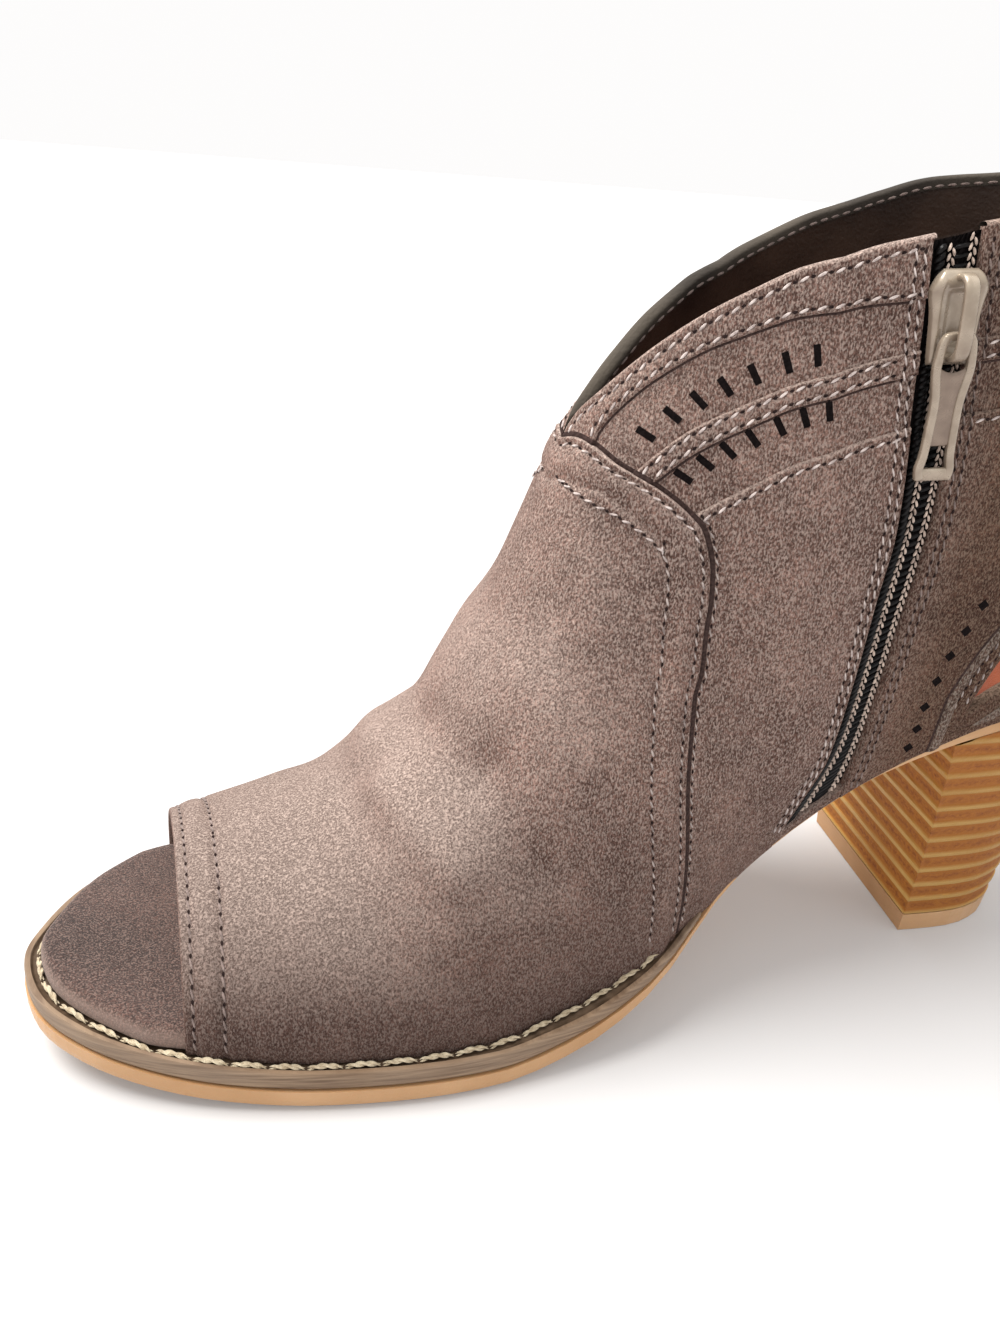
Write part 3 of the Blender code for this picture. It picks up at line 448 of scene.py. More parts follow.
def shift(side, rib, up, across):
    """Seam points moved across the seam on the surface, to the left of its run, in mm."""
    rib, up = np.array(rib, float), np.array(up, float)
    steps = max(1, int(abs(across) / 1.5))
    for _ in range(steps):
        points = skin(side, rib, up)
        run = np.gradient(points, axis=0)
        run /= np.linalg.norm(run, axis=1, keepdims=True)
        along, upward, normal = skin_slopes(side, rib, up)
        way = np.cross(normal, run) * (across * MM / steps)
        aa = (along * along).sum(1)
        bb = (upward * upward).sum(1)
        ab = (along * upward).sum(1)
        ra, rb = (way * along).sum(1), (way * upward).sum(1)
        det = aa * bb - ab * ab
        rib = np.clip(rib + (ra * bb - rb * ab) / det, 0, LAST_RIB)
        up = up + (rb * aa - ra * ab) / det
    return rib, up


def locate(side, x, z):
    """Rib number and share up of surface points over x and z of the side view."""
    ribs = np.linspace(9, 18, 181)[:, None] * np.ones(121)
    ups = np.linspace(0, 1, 121)[None, :] * np.ones((181, 1))
    net = skin(side, ribs, ups)[..., (0, 2)].reshape(-1, 2)
    rib, up = np.zeros(len(x)), np.zeros(len(x))
    for i, place in enumerate(np.c_[x, z]):
        k = int(((net - place) ** 2).sum(1).argmin())
        rib[i], up[i] = ribs.ravel()[k], ups.ravel()[k]
    for _ in range(4):
        miss = np.c_[x, z] - skin(side, rib, up)[:, (0, 2)]
        along, upward, _ = skin_slopes(side, rib, up)
        a, b, c, d = along[:, 0], upward[:, 0], along[:, 2], upward[:, 2]
        det = a * d - b * c
        det = np.where(np.abs(det) < 1e-9, 1e-9, det)
        rib = np.clip(rib + (miss[:, 0] * d - miss[:, 1] * b) / det, 9, LAST_RIB)
        up = np.clip(up + (miss[:, 1] * a - miss[:, 0] * c) / det, 0, 1)
    return rib, up


def seam_curve(rows):
    """A seam that runs up the boot, as a function of the share up."""
    return lambda up: seam_rib(rows, np.ravel(up)).reshape(np.shape(up))


def seam_level(rows):
    """A seam that runs along the boot, as a function of the rib number."""
    return lambda rib: seam_up(rows, np.ravel(rib)).reshape(np.shape(rib))


def constant(value):
    """A seam that keeps one value."""
    return lambda at: np.full(np.shape(at), float(value))


def region(front, rear, foot, top, across, upward):
    """Rib and up numbers of a net between four seams."""
    a, b = across[:, None], upward[None, :]
    up = np.ones_like(a) * b
    for _ in range(8):
        rib = front(up) * (1 - a) + rear(up) * a
        up = foot(rib) * (1 - b) + top(rib) * b
    return rib, up


def lengths(points, axis):
    """Distance in mm from the first row of a net along one axis."""
    step = np.linalg.norm(np.diff(points, axis=axis), axis=-1) / MM
    total = np.cumsum(step, axis=axis)
    return np.concatenate([np.zeros_like(np.take(total, [0], axis=axis)), total], axis=axis)


def graded(length, step, start=(0, 1), end=(0, 1)):
    """Shares from 0 to 1 along a length in mm, with finer steps near the ends."""
    places = [0.0]
    while places[-1] < length:
        at = places[-1]
        if at < start[0]:
            places.append(at + start[1])
        elif length - at < end[0]:
            places.append(at + end[1])
        else:
            places.append(at + step)
    return np.array(places) / places[-1]


def edge_lift(away, thick, radius=0.5):
    """Height of a layer with a rounded edge, at distances in mm from that edge."""
    share = np.clip(away / radius, 0, 1)
    return thick * np.sqrt(1 - (1 - share) ** 2)


def groove(away, centre, width=0.4, depth=0.22):
    """The dent that a row of stitches pulls into a layer."""
    return -depth * np.exp(-(((away - centre) / width) ** 2))


def puff(away, start, end, height):
    """The swell of a layer between two rows of stitches."""
    share = np.clip((away - start) / (end - start), 0, 1)
    return height * np.sin(math.pi * share)


def net_faces(net, flip=False, close=False):
    """Faces of a net of points, as rows of four numbers."""
    rows, columns = net.shape[:2]
    last = rows if close else rows - 1
    i, j = np.meshgrid(np.arange(last), np.arange(columns - 1), indexing="ij")
    i, j = i.ravel(), j.ravel()
    k = (i + 1) % rows
    faces = np.c_[i * columns + j, k * columns + j, k * columns + j + 1, i * columns + j + 1]
    return faces[:, ::-1] if flip else faces


# Edges that turn more sharply than this are shaded as edges
SHARP_DEGREES = 50


def piece(name, points, faces, material, slot, body="boot"):
    """A named mesh with its material, that rides on a body."""
    data = bpy.data.meshes.new(name)
    data.from_pydata(np.asarray(points).reshape(-1, 3).tolist(), [], np.asarray(faces).tolist())
    data.validate()
    data.shade_smooth()
    data.set_sharp_from_angle(angle=math.radians(SHARP_DEGREES))
    made = bpy.data.objects.new(name, data)
    bpy.context.scene.collection.objects.link(made)
    data.materials.append(material)
    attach(made, body)
    return made


def join_nets(nets):
    """Points and faces of several nets of the same kind put together."""
    points, faces, count = [], [], 0
    for net, net_face in nets:
        net = np.asarray(net).reshape(-1, 3)
        points.append(net)
        faces.append(np.asarray(net_face) + count)
        count += len(net)
    return np.concatenate(points), np.concatenate(faces)


def used_only(net, faces):
    """A mesh without the points that no face needs."""
    used = np.unique(faces)
    number = np.zeros(len(net), int)
    number[used] = np.arange(len(used))
    return net[used], number[faces]


def drop_faces(net, faces, inside):
    """The faces with no corner inside a region, with loose points left out."""
    faces = faces[~inside.ravel()[faces].any(axis=1)]
    return used_only(np.asarray(net).reshape(-1, 3), faces)


def inside_outline(outline, x, z, margin):
    """Which points of the side view lie inside an outline widened by margin."""
    a = outline
    b = np.roll(outline, -1, axis=0)
    flat = np.c_[np.ravel(x), np.ravel(z)]
    crossed = np.zeros(len(flat), bool)
    near = np.full(len(flat), np.inf)
    for (ax, az), (bx, bz) in zip(a, b):
        over = (az > flat[:, 1]) != (bz > flat[:, 1])
        rise = bz - az if abs(bz - az) > 1e-12 else 1e-12
        crossed ^= over & (flat[:, 0] < (bx - ax) * (flat[:, 1] - az) / rise + ax)
        way = np.array([bx - ax, bz - az])
        share = np.clip(((flat - (ax, az)) @ way) / max(way @ way, 1e-15), 0, 1)
        away = np.hypot(*(flat - (ax, az) - share[:, None] * way).T)
        near = np.minimum(near, away)
    return (crossed | (near < margin)).reshape(np.shape(x))


def capsules(
    starts, ends, outs, width, thick, arch=0.0, sides=6, rings=5, square=False, twist=(0, 0, 0)
):
    """Short threads from starts to ends, flattened towards outs, all in one mesh."""
    starts, ends, outs = (np.asarray(p, float) for p in (starts, ends, outs))
    way = ends - starts
    length = np.linalg.norm(way, axis=1, keepdims=True)
    run = way / length
    cross = np.cross(outs, run)
    cross /= np.linalg.norm(cross, axis=1, keepdims=True)
    lift = np.cross(run, cross)
    s = np.linspace(0, 1, rings + 1)
    swell = np.sqrt(np.clip(1 - np.abs(2 * s - 1) ** 3, 0.02, 1))
    if square:
        swell = np.ones_like(s)
    angle = np.linspace(0, 2 * math.pi, sides, endpoint=False)
    middle = starts[:, None] + way[:, None] * s[None, :, None]
    middle = middle + lift[:, None] * (np.sin(math.pi * s) * arch)[None, :, None]
    radius, turns, phase = twist
    spin = 2 * math.pi * turns * s + phase
    middle = middle + cross[:, None] * (radius * np.cos(spin))[None, :, None]
    middle = middle + lift[:, None] * (radius * np.sin(spin))[None, :, None]
    wide = (swell[:, None] * np.cos(angle)[None, :] * width)[None, :, :, None]
    high = (swell[:, None] * np.sin(angle)[None, :] * thick)[None, :, :, None]
    points = middle[:, :, None] + cross[:, None, None] * wide + lift[:, None, None] * high
    count = len(starts)
    faces = []
    for r in range(rings):
        for k in range(sides):
            n = (k + 1) % sides
            faces.append((r * sides + k, (r + 1) * sides + k, (r + 1) * sides + n, r * sides + n))
    for r, turn in ((0, 1), (rings, -1)):
        ring = [r * sides + k for k in range(sides)][::turn]
        for k in range(1, sides - 1, 2):
            faces.append((ring[0], ring[k], ring[k + 1], ring[(k + 2) % sides]))
    faces = np.array(faces)
    per = (rings + 1) * sides
    all_faces = (faces[None] + (np.arange(count) * per)[:, None, None]).reshape(-1, 4)
    return points.reshape(-1, 3), all_faces


def walk(points, pitch, start=0.0):
    """Places at an even pitch along a line of points, as shares of its index."""
    step = np.linalg.norm(np.diff(points, axis=0), axis=1)
    total = np.concatenate([[0], np.cumsum(step)])
    at = np.arange(start, total[-1], pitch)
    return np.interp(at, total, np.arange(len(points)))


def pick(values, places):
    """Values of a line read between its points."""
    number = np.arange(len(values))
    if np.ndim(values) == 1:
        return np.interp(places, number, values)
    return np.stack([np.interp(places, number, column) for column in np.transpose(values)], axis=1)


# How far a stitch leans out of its row at each end, in mm
STITCH_LEAN = 0.24


class Threads:
    """Collects stitches, painted shade for the pits between them and seam shadows, by kind."""

    def __init__(self):
        self.nets = {}

    def add(self, kind, net):
        """Keep one net under its kind."""
        self.nets.setdefault(kind, []).append(net)

    def row(self, kind, side, rib, up, height, pitch=2.9, length=1.65, width=0.23, thick=0.24):
        """A row of stitches along a line on the surface."""
        line = raised(side, rib, up, height)
        places = walk(line, pitch * MM, 0.4 * pitch * MM)
        if len(places) < 2:
            return
        normal = pick(skin_slopes(side, rib, up)[2], places)
        middle = pick(line, places)
        run = pick(np.gradient(line, axis=0), places)
        run /= np.linalg.norm(run, axis=1, keepdims=True)
        cross = np.cross(normal, run)
        half = run * (length / 2 * MM) + cross * (STITCH_LEAN * MM)
        centre = middle + normal * (0.02 * MM)
        self.add(kind, capsules(centre - half, centre + half, normal, width * MM, thick * MM))
        # Painted shade: a dark mark for the pit where the thread goes in.
        pit = middle + run * (pitch / 2 * MM) + normal * (0.01 * MM)
        reach = run * (0.46 * MM)
        self.add("pits", capsules(pit - reach, pit + reach, normal, 0.25 * MM, 0.08 * MM, rings=3))

    def seam(self, side, rib, up, height, width=0.3):
        """A painted shadow line where a layer's edge meets the one below it."""
        line = raised(side, rib, up, height)
        places = walk(line, 0.8 * MM)
        line, normal = pick(line, places), pick(skin_slopes(side, rib, up)[2], places)
        net = capsules(line[:-1], line[1:], normal[1:], width * MM, 0.10 * MM, rings=2, square=True)
        self.add("seam_shade_lines", net)


threads = Threads()


class Paint:
    """A material put together from patterns over the object."""

    def __init__(self, name, colour, roughness, **sockets):
        self.material = bpy.data.materials.new(name)
        self.material.use_nodes = True
        self.tree = self.material.node_tree
        self.shader = self.tree.nodes["Principled BSDF"]
        values = {"Base Color": (*colour, 1), "Roughness": roughness, **sockets}
        for socket, value in values.items():
            self.shader.inputs[socket.replace("_", " ")].default_value = value

    def connect(self, value, socket):
        """Put a plain value or another node's output on a socket."""
        if isinstance(value, bpy.types.NodeSocket):
            self.tree.links.new(value, socket)
        else:
            socket.default_value = value

    def node(self, kind, inputs, **settings):
        """A node with its settings and its inputs."""
        made = self.tree.nodes.new(kind)
        for key, value in settings.items():
            setattr(made, key, value)
        for key, value in inputs.items():
            self.connect(value, made.inputs[key])
        return made

    def place(self, stretch=(1, 1, 1)):
        """Object coordinates, stretched along the axes."""
        where = self.node("ShaderNodeTexCoord", {}).outputs["Object"]
        inputs = {0: where, 1: stretch}
        return self.node("ShaderNodeVectorMath", inputs, operation="MULTIPLY").outputs["Vector"]

    def part(self, vector, axis):
        """One number of a vector: X, Y or Z."""
        return self.node("ShaderNodeSeparateXYZ", {0: vector}).outputs[axis]

    def facing(self, axis):
        """How far the surface faces along an axis."""
        return self.part(self.node("ShaderNodeNewGeometry", {}).outputs["Normal"], axis)

    def spread(self, value, low, high, to_low=0.0, to_high=1.0):
        """A value stretched from one range to another and kept inside it."""
        names = ("Value", "From Min", "From Max", "To Min", "To Max")
        inputs = dict(zip(names, (value, low, high, to_low, to_high)))
        return self.node("ShaderNodeMapRange", inputs).outputs["Result"]

    def noise(self, scale, detail, span=None, stretch=(1, 1, 1), rough=0.5):
        """A noise pattern over the object, its span stretched to 0 and 1 or as given."""
        names = ("Vector", "Scale", "Detail", "Roughness")
        inputs = dict(zip(names, (self.place(stretch), scale, detail, rough)))
        pattern = self.node("ShaderNodeTexNoise", inputs).outputs["Fac"]
        return self.spread(pattern, *span) if span else pattern

    def mix(self, share, first, second):
        """A mix of two colours."""
        made = self.node("ShaderNodeMix", {}, data_type="RGBA")
        self.connect(share, made.inputs[0])
        for number, colour in ((6, first), (7, second)):
            linked = isinstance(colour, bpy.types.NodeSocket)
            self.connect(colour if linked else (*colour, 1), made.inputs[number])
        return made.outputs[2]

    def math(self, operation, first, second=0.0):
        """A sum, product or other simple result of two values."""
        made = self.node("ShaderNodeMath", {0: first, 1: second}, operation=operation)
        return made.outputs["Value"]

    def finish(self, colour, heights=(), roughness=None):
        """Join a colour, bumps (height, distance, strength) and a roughness to the shader."""
        self.connect(colour, self.shader.inputs["Base Color"])
        if roughness is not None:
            self.connect(roughness, self.shader.inputs["Roughness"])
        below = {}
        for height, distance, strength in heights:
            inputs = {"Height": height, "Distance": distance, "Strength": strength, **below}
            below = {"Normal": self.node("ShaderNodeBump", inputs).outputs["Normal"]}
        if below:
            self.connect(below["Normal"], self.shader.inputs["Normal"])
        return self.material


def plain_paint(name, base, roughness, pattern, dark, light, bump, **sockets):
    """One pattern that mixes two colours and stands out a little."""
    p = Paint(name, base, roughness, **sockets)
    tone = p.noise(*pattern)
    return p.finish(p.mix(tone, dark, light), ((tone, *bump),))


# The usual span of a noise, where along X the suede turns browner, and how much paler
# than its light tone the suede's painted highlight and pale flecks are in red, green and blue
MIDDLE = (0.35, 0.65)
REAR_FADE = (0.034, 0.056)
PALE_SHARES = (1.75, 2.35, 2.55)


def suede_tones(dark, light):
    """Deep, middle, light and pale tones of a suede."""
    middle = tuple(0.95 * a + 0.05 * b for a, b in zip(dark, light))
    deep = tuple(0.22 * c for c in dark)
    pale = tuple(m * c for m, c in zip(PALE_SHARES, light))
    return deep, middle, light, pale


def suede(name, dark, light, rear=None):
    """Suede with patches of brushed nap and a speckle, browner at the rear if given."""
    tint = (*[min(1.0, 2.2 * c) for c in light], 1)
    sheen = {"Sheen_Weight": 0.22, "Sheen_Roughness": 0.4, "Sheen_Tint": tint}
    p = Paint(name, light, 0.95, Specular_IOR_Level=0.15, **sheen)
    patches = p.noise(34, 7, (0.38, 0.58), (1, 1, 0.8), 0.62)
    grain = p.noise(2250, 3, (0.43, 0.57), (1, 1, 0.75), 0.75)
    fleck = p.noise(3300, 2, (0.45, 0.62), (1, 1, 0.5))
    tones = suede_tones(dark, light)
    if rear:
        share = p.spread(p.part(p.place(), "X"), *REAR_FADE)
        tones = [p.mix(share, *pair) for pair in zip(tones, suede_tones(*rear))]
    deep, middle, light, pale = tones
    broad = p.mix(patches, middle, light)
    mottle = p.noise(230, 3, (0.40, 0.62, 0.0, 0.30), (1, 1, 0.8))
    broad = p.mix(mottle, broad, deep)
    upright = p.facing("Z")
    # Painted highlight: paler on faces turned up.
    broad = p.mix(p.spread(upright, 0.20, 0.95, 0.0, 0.95), broad, pale)
    # Painted shade: darker on faces turned sideways and down.
    broad = p.mix(p.spread(upright, 0.35, -0.15, 0.0, 0.20), broad, deep)
    speckled = p.mix(0.72, broad, p.mix(grain, deep, broad))
    lit = p.mix(p.math("MULTIPLY", fleck, 0.55), speckled, pale)
    # Painted shade: darker towards the sole.
    low = p.spread(p.part(p.place(), "Z"), 0.012, 0.060, 0.60, 0.0)
    heights = ((patches, 0.00025, 0.35), (grain, 0.00022, 0.75), (fleck, 0.00010, 0.6))
    return p.finish(p.mix(low, lit, deep), heights)


def leather(name, dark, light, roughness):
    """Smooth lining leather with a fine pebble and faint rubbed patches."""
    p = Paint(name, light, roughness, Specular_IOR_Level=0.35)
    colour = p.mix(p.noise(45, 4, (0.35, 0.68)), dark, light)
    return p.finish(colour, ((p.noise(1300, 3, MIDDLE), 0.00012, 0.5),))


def thread_paint(name, dark, light):
    """Twisted sewing thread."""
    p = Paint(name, light, 0.75, Sheen_Weight=0.2)
    colour = p.mix(p.noise(900, 2, MIDDLE), dark, light)
    return p.finish(colour, ((p.noise(5200, 2, MIDDLE, (1, 1, 0.5)), 0.00012, 0.7),))


def rubber_paint(name, dark, light, roughness):
    """Gum rubber with a slight cloudiness and fine scratches."""
    p = Paint(
        name, light, roughness, Specular_IOR_Level=0.4, Subsurface_Weight=0.12,
        Subsurface_Radius=(0.004, 0.002, 0.001), Subsurface_Scale=0.5,
    )
    cloud = p.noise(30, 4, (0.35, 0.66))
    scratch = p.noise(260, 4, (0.4, 0.62), (0.4, 0.4, 4))
    colour = p.mix(p.math("MULTIPLY", scratch, 0.15), p.mix(cloud, dark, light), dark)
    rough = p.spread(cloud, 0, 1, roughness + 0.1, roughness - 0.08)
    heights = ((p.noise(2400, 2, (0.3, 0.7)), 0.00006, 0.5), (scratch, 0.00008, 0.2))
    return p.finish(colour, heights, rough)


def welt_paint():
    """The welt's cut edge: long pale fibres, greyer in places."""
    p = Paint("welt_edge", (0.36, 0.25, 0.17), 0.55, Specular_IOR_Level=0.35)
    fibre = p.noise(300, 5, (0.32, 0.68), (0.22, 0.22, 5.5), 0.6)
    cloud = p.math("MULTIPLY", p.noise(45, 3, MIDDLE), 0.3)
    colour = p.mix(fibre, (0.120, 0.070, 0.040), (0.30, 0.205, 0.130))
    return p.finish(p.mix(cloud, colour, (0.30, 0.225, 0.165)), ((fibre, 0.00012, 0.5),))


def stack_paint():
    """Stacked layers: brown grainy bands between pale rubbed ridges."""
    p = Paint("heel_layers", (0.45, 0.20, 0.07), 0.45, Specular_IOR_Level=0.4)
    wobble = p.math("MULTIPLY", p.noise(120, 2), 0.0005)
    height = p.math("ADD", p.part(p.place(), "Z"), wobble)
    layer = p.math("SUBTRACT", height, STACK_FOOT + 0.00025)
    turn = p.math("FRACT", p.math("DIVIDE", layer, STACK_PITCH))
    away = p.math("ABSOLUTE", p.math("SUBTRACT", turn, 0.5))
    ridge = p.spread(away, STACK_EDGE - 0.06, STACK_EDGE + 0.06)
    grain = p.noise(1150, 4, (0.36, 0.62), (0.8, 0.8, 1.2), 0.65)
    brown = p.mix(grain, (0.22, 0.055, 0.005), (0.46, 0.165, 0.017))
    core = p.spread(away, 0.02, STACK_EDGE - 0.05)
    brown = p.mix(core, brown, (0.45, 0.170, 0.018))
    pale = p.mix(p.noise(60, 3, MIDDLE), (0.54, 0.300, 0.060), (0.64, 0.400, 0.105))
    # Painted shade: darker on the heel's sides, which face across the boot.
    dark = p.spread(p.math("ABSOLUTE", p.facing("Y")), 0.45, 0.85, 0.0, 0.42)
    colour = p.mix(dark, p.mix(ridge, brown, pale), (0.16, 0.042, 0.006))
    rough = p.spread(ridge, 0, 1, 0.72, 0.42)
    return p.finish(colour, ((grain, 0.00012, 0.5),), rough)


def insole_paint():
    """Dark suede in the toe opening and smooth red brown leather behind it."""
    p = Paint("insole_cover", (0.15, 0.10, 0.085), 0.9, Sheen_Weight=0.12)
    rear = p.spread(p.part(p.place(), "X"), -0.030, -0.024)
    patches = p.noise(42, 4, (0.36, 0.66))
    grain = p.noise(2250, 3, (0.43, 0.57), rough=0.75)
    fleck = p.math("MULTIPLY", p.noise(2900, 2, (0.46, 0.64)), 0.5)
    toe = p.mix(patches, (0.036, 0.015, 0.011), (0.104, 0.052, 0.040))
    toe = p.mix(0.9, toe, p.mix(grain, (0.020, 0.012, 0.010), toe))
    toe = p.mix(fleck, toe, (0.30, 0.20, 0.165))
    # Painted highlight: paler where the suede rolls down from flat.
    sloped_highlight = p.spread(p.facing("Z"), 0.95, 0.35, 0.0, 0.42)
    toe = p.mix(sloped_highlight, toe, (0.36, 0.25, 0.20))
    heel = p.mix(patches, (0.20, 0.035, 0.010), (0.33, 0.075, 0.020))
    rough = p.spread(rear, 0, 1, 0.95, 0.5)
    return p.finish(p.mix(rear, toe, heel), ((patches, 0.0003, 0.4), (grain, 0.00018, 0.6)), rough)


def metal_paint(name, dark, light):
    """Champagne enamel on the slider and its pull."""
    coat = {"Coat_Weight": 0.5, "Coat_Roughness": 0.12}
    p = Paint(name, (0.30, 0.25, 0.19), 0.28, Metallic=0.35, **coat)
    cloud = p.noise(350, 3, MIDDLE)
    shade = p.spread(p.facing("Z"), 0.40, -0.15, 0.0, 0.55)
    colour = p.mix(shade, p.mix(cloud, dark, light), (0.16, 0.105, 0.075))
    rough = p.spread(cloud, 0, 1, 0.36, 0.24)
    return p.finish(colour, ((p.noise(2600, 2, (0.3, 0.7)), 0.00003, 0.35),), rough)


def pit_paint(name, colour):
    """Painted shade for the inside of a hole in the suede, nearly black; also stitch pits and seam
    shadows.
    """
    dark = tuple(0.5 * c for c in colour)
    bump = (0.0001, 0.5)
    pattern = (1800, 2, MIDDLE)
    return plain_paint(name, colour, 1.0, pattern, dark, colour, bump, Specular_IOR_Level=0.05)


# The heel's layers: their pitch, the foot of the first, how far from a layer's middle its
# sunk band reaches as a share of the pitch, and the band's depth in mm
STACK_PITCH = 0.00480
STACK_FOOT = HEEL_TIP_THICK + GAP
STACK_EDGE = 0.36
STACK_DEPTH = 0.35

UPPER_SUEDE = suede(
    "taupe_suede",
    (0.136, 0.072, 0.057),
    (0.312, 0.183, 0.146),
    rear=((0.070, 0.031, 0.020), (0.155, 0.080, 0.053)),
)
FACING = leather("collar_facing", (0.032, 0.025, 0.019), (0.085, 0.069, 0.052), 0.85)
PIPING = suede("piping_suede", (0.115, 0.066, 0.051), (0.24, 0.150, 0.115))
CHAIN_THREAD = thread_paint("chain_thread", (0.30, 0.22, 0.18), (0.66, 0.52, 0.43))
LINING = leather("lining_leather", (0.022, 0.011, 0.007), (0.070, 0.039, 0.025), 0.5)
HEEL_LINING = leather("heel_lining", (0.060, 0.0060, 0.0016), (0.150, 0.0160, 0.0032), 0.7)
UPPER_THREAD = thread_paint("lilac_thread", (0.34, 0.27, 0.25), (0.72, 0.62, 0.58))
# Darker copies of the lilac thread, as painted shade for rows that lie in shadow
SHADED_THREAD = thread_paint("lilac_thread_in_shade", (0.20, 0.15, 0.135), (0.50, 0.415, 0.38))
DEEP_SHADED_THREAD = thread_paint("lilac_thread_in_deep_shade", (0.15, 0.105, 0.09), (0.28, 0.205, 0.18))
WELT_THREAD = thread_paint("cream_thread", (0.42, 0.33, 0.21), (0.68, 0.58, 0.41))
PIT = pit_paint("stitch_pit", (0.030, 0.019, 0.018))
SEAM_SHADOW = pit_paint("seam_shadow", (0.060, 0.038, 0.034))
HOLE = pit_paint("slot_hole", (0.010, 0.007, 0.007))
GUM = rubber_paint("gum_rubber", (0.46, 0.255, 0.115), (0.58, 0.345, 0.175), 0.42)

# How far free edges and the zip's edges go below the skin in mm, and the share up at which
# layers start, a little below the upper's foot
SINK = 0.35
ZIP_SINK = 1.35
FOOT_TUCK = -0.012


def beside(side, rib, up, across):
    """A line moved on the surface: to the toe if it runs up, or up if it runs back."""
    return shift(side, rib, up, -side * across)


def quarter_height(rib, up):
    """Height in mm of the layer that shows at a place behind the vamp."""
    rib, up = np.ravel(rib), np.ravel(up)
    height = np.where(up < seam_up(LOWER_TOP, rib), LOWER_LIFT, 0.0)
    strip = (up > seam_up(STRIP_FOOT, rib)) & (up < seam_up(STRIP_TOP, rib))
    height = np.where(strip, STRIP_LIFT, height)
    return np.where(up > seam_up(BAND_EDGE, rib), BAND_LIFT, height)


def vamp_height(from_toe, from_edge, up):
    """Height in mm of the vamp, at distances from the toe opening and its rear edge."""
    swell = np.clip((0.66 - up) / 0.12, 0, 1)
    near = np.clip(1 - from_edge / 30, 0, 1)
    near = near * near * (3 - 2 * near)
    full = VAMP_TOE_LIFT + (VAMP_LIFT - VAMP_TOE_LIFT) * near
    height = full - (full + SINK) * (1 - edge_lift(from_edge, 1.0, 0.6))
    height += groove(from_toe, 1.3, 0.45, 0.24) + groove(from_toe, 6.9, 0.75, 0.42)
    height += puff(from_toe, 1.8, 6.4, 0.30)
    height += groove(from_edge, 1.6, 0.45, 0.26) + groove(from_edge, 8.0, 0.7, 0.32)
    return height + puff(from_edge, 2.2, 7.5, 0.2) * (1 + 2.1 * swell)


def rim(line, away, normal, top, foot, bulge, inner, steps=9):
    """Rows of points that turn a layer's edge over to the inside; sizes in mm."""
    angle = np.linspace(math.pi / 2, -math.pi / 2, steps)[1:]
    middle, radius = (top + foot) / 2, (top - foot) / 2
    rows = []
    for a in angle:
        out = np.asarray(bulge * math.cos(a))[..., None] * MM
        high = np.asarray(middle + radius * math.sin(a))[..., None] * MM
        rows.append(line + away * out + normal * high)
    for back in np.arange(0.8, inner + 0.1, 0.8):
        rows.append(line - away * back * MM + normal * np.asarray(foot)[..., None] * MM)
    return np.stack(rows)


def unit(vectors):
    """Vectors of length one."""
    return vectors / np.maximum(np.linalg.norm(vectors, axis=-1, keepdims=True), 1e-12)


# Rows of stitches on the vamp, in mm from its rear edge, and from the toe opening with
# their height; and the share up from which the thread beside the rear edge is pale, with
# painted shade on it below
VAMP_ROWS = (1.6, 8.0)
TOE_ROWS = ((1.3, 0.14), (6.9, 0.0))
PALE_THREAD_FROM = 0.62


def build_vamp():
    """The vamp over both sides, rolled in at the toe opening."""
    across = graded(112, 0.8, (9, 0.3), (10, 0.3))
    upward = np.linspace(FOOT_TUCK, 1, 112)
    rear = seam_curve(VAMP_EDGE)
    halves = []
    for side in (-1, 1):
        up = np.ones((len(across), 1)) * upward
        rib = rear(np.clip(up, 0, 1)) * across[:, None]
        base = skin(side, rib, up)
        from_toe = lengths(base, 0)
        height = vamp_height(from_toe, from_toe[-1:] - from_toe, up)
        net = raised(side, rib, up, height)
        along, upright, normal = skin_slopes(side, rib[0], up[0])
        turned = rim(base[0], -unit(along), normal, 0.30, -LINING_DEPTH - 0.2, 0.7, 5.0)
        halves.append(np.concatenate([turned[::-1], net]))
    net = np.concatenate([halves[0], halves[1][:, -2::-1]], axis=1)
    faces = net_faces(net, flip=True)
    vamp = piece("vamp", net, faces, UPPER_SUEDE, "upper_suede")
    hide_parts("upper")
    ups = np.linspace(0.01, 0.995, 400)
    for side in (-1, 1):
        edge = seam_rib(VAMP_EDGE, ups)
        for distance in VAMP_ROWS:
            rib, up = beside(side, edge, ups, distance)
            # Where the edge bends sharply the line beside it folds back, and is left out.
            gaps = skin(side, rib, up)[:, None] - skin(side, edge, ups)[None]
            near = np.linalg.norm(gaps, axis=2).min(axis=1)
            keep = (near > 0.93 * distance * MM) & (rib > 0.01)
            rib, up, along = rib[keep], up[keep], ups[keep]
            height = vamp_height(60.0, distance, 1.0)
            low = int(np.argmax(along > PALE_THREAD_FROM))
            raise_by = 0.0 if distance == VAMP_ROWS[0] else 0.26
            clear = 0.13 + raise_by * np.clip((along - 0.60) / 0.10, 0, 1)
            # Below that share the rows take the darker thread, as painted shade.
            for kind, part in (("vamp", slice(low)), ("upper", slice(low, None))):
                over = height + clear[part]
                threads.row(
                    kind, side, rib[part], up[part], over, pitch=2.6, length=1.5, width=0.2
                )
        for distance, height in TOE_ROWS:
            rib, up = beside(side, np.zeros_like(ups) + 0.001, ups, -distance)
            # The toe opening's rows take the deepest thread tone, as painted shade.
            threads.row("toe", side, rib, up, height, pitch=2.7, length=2.0)


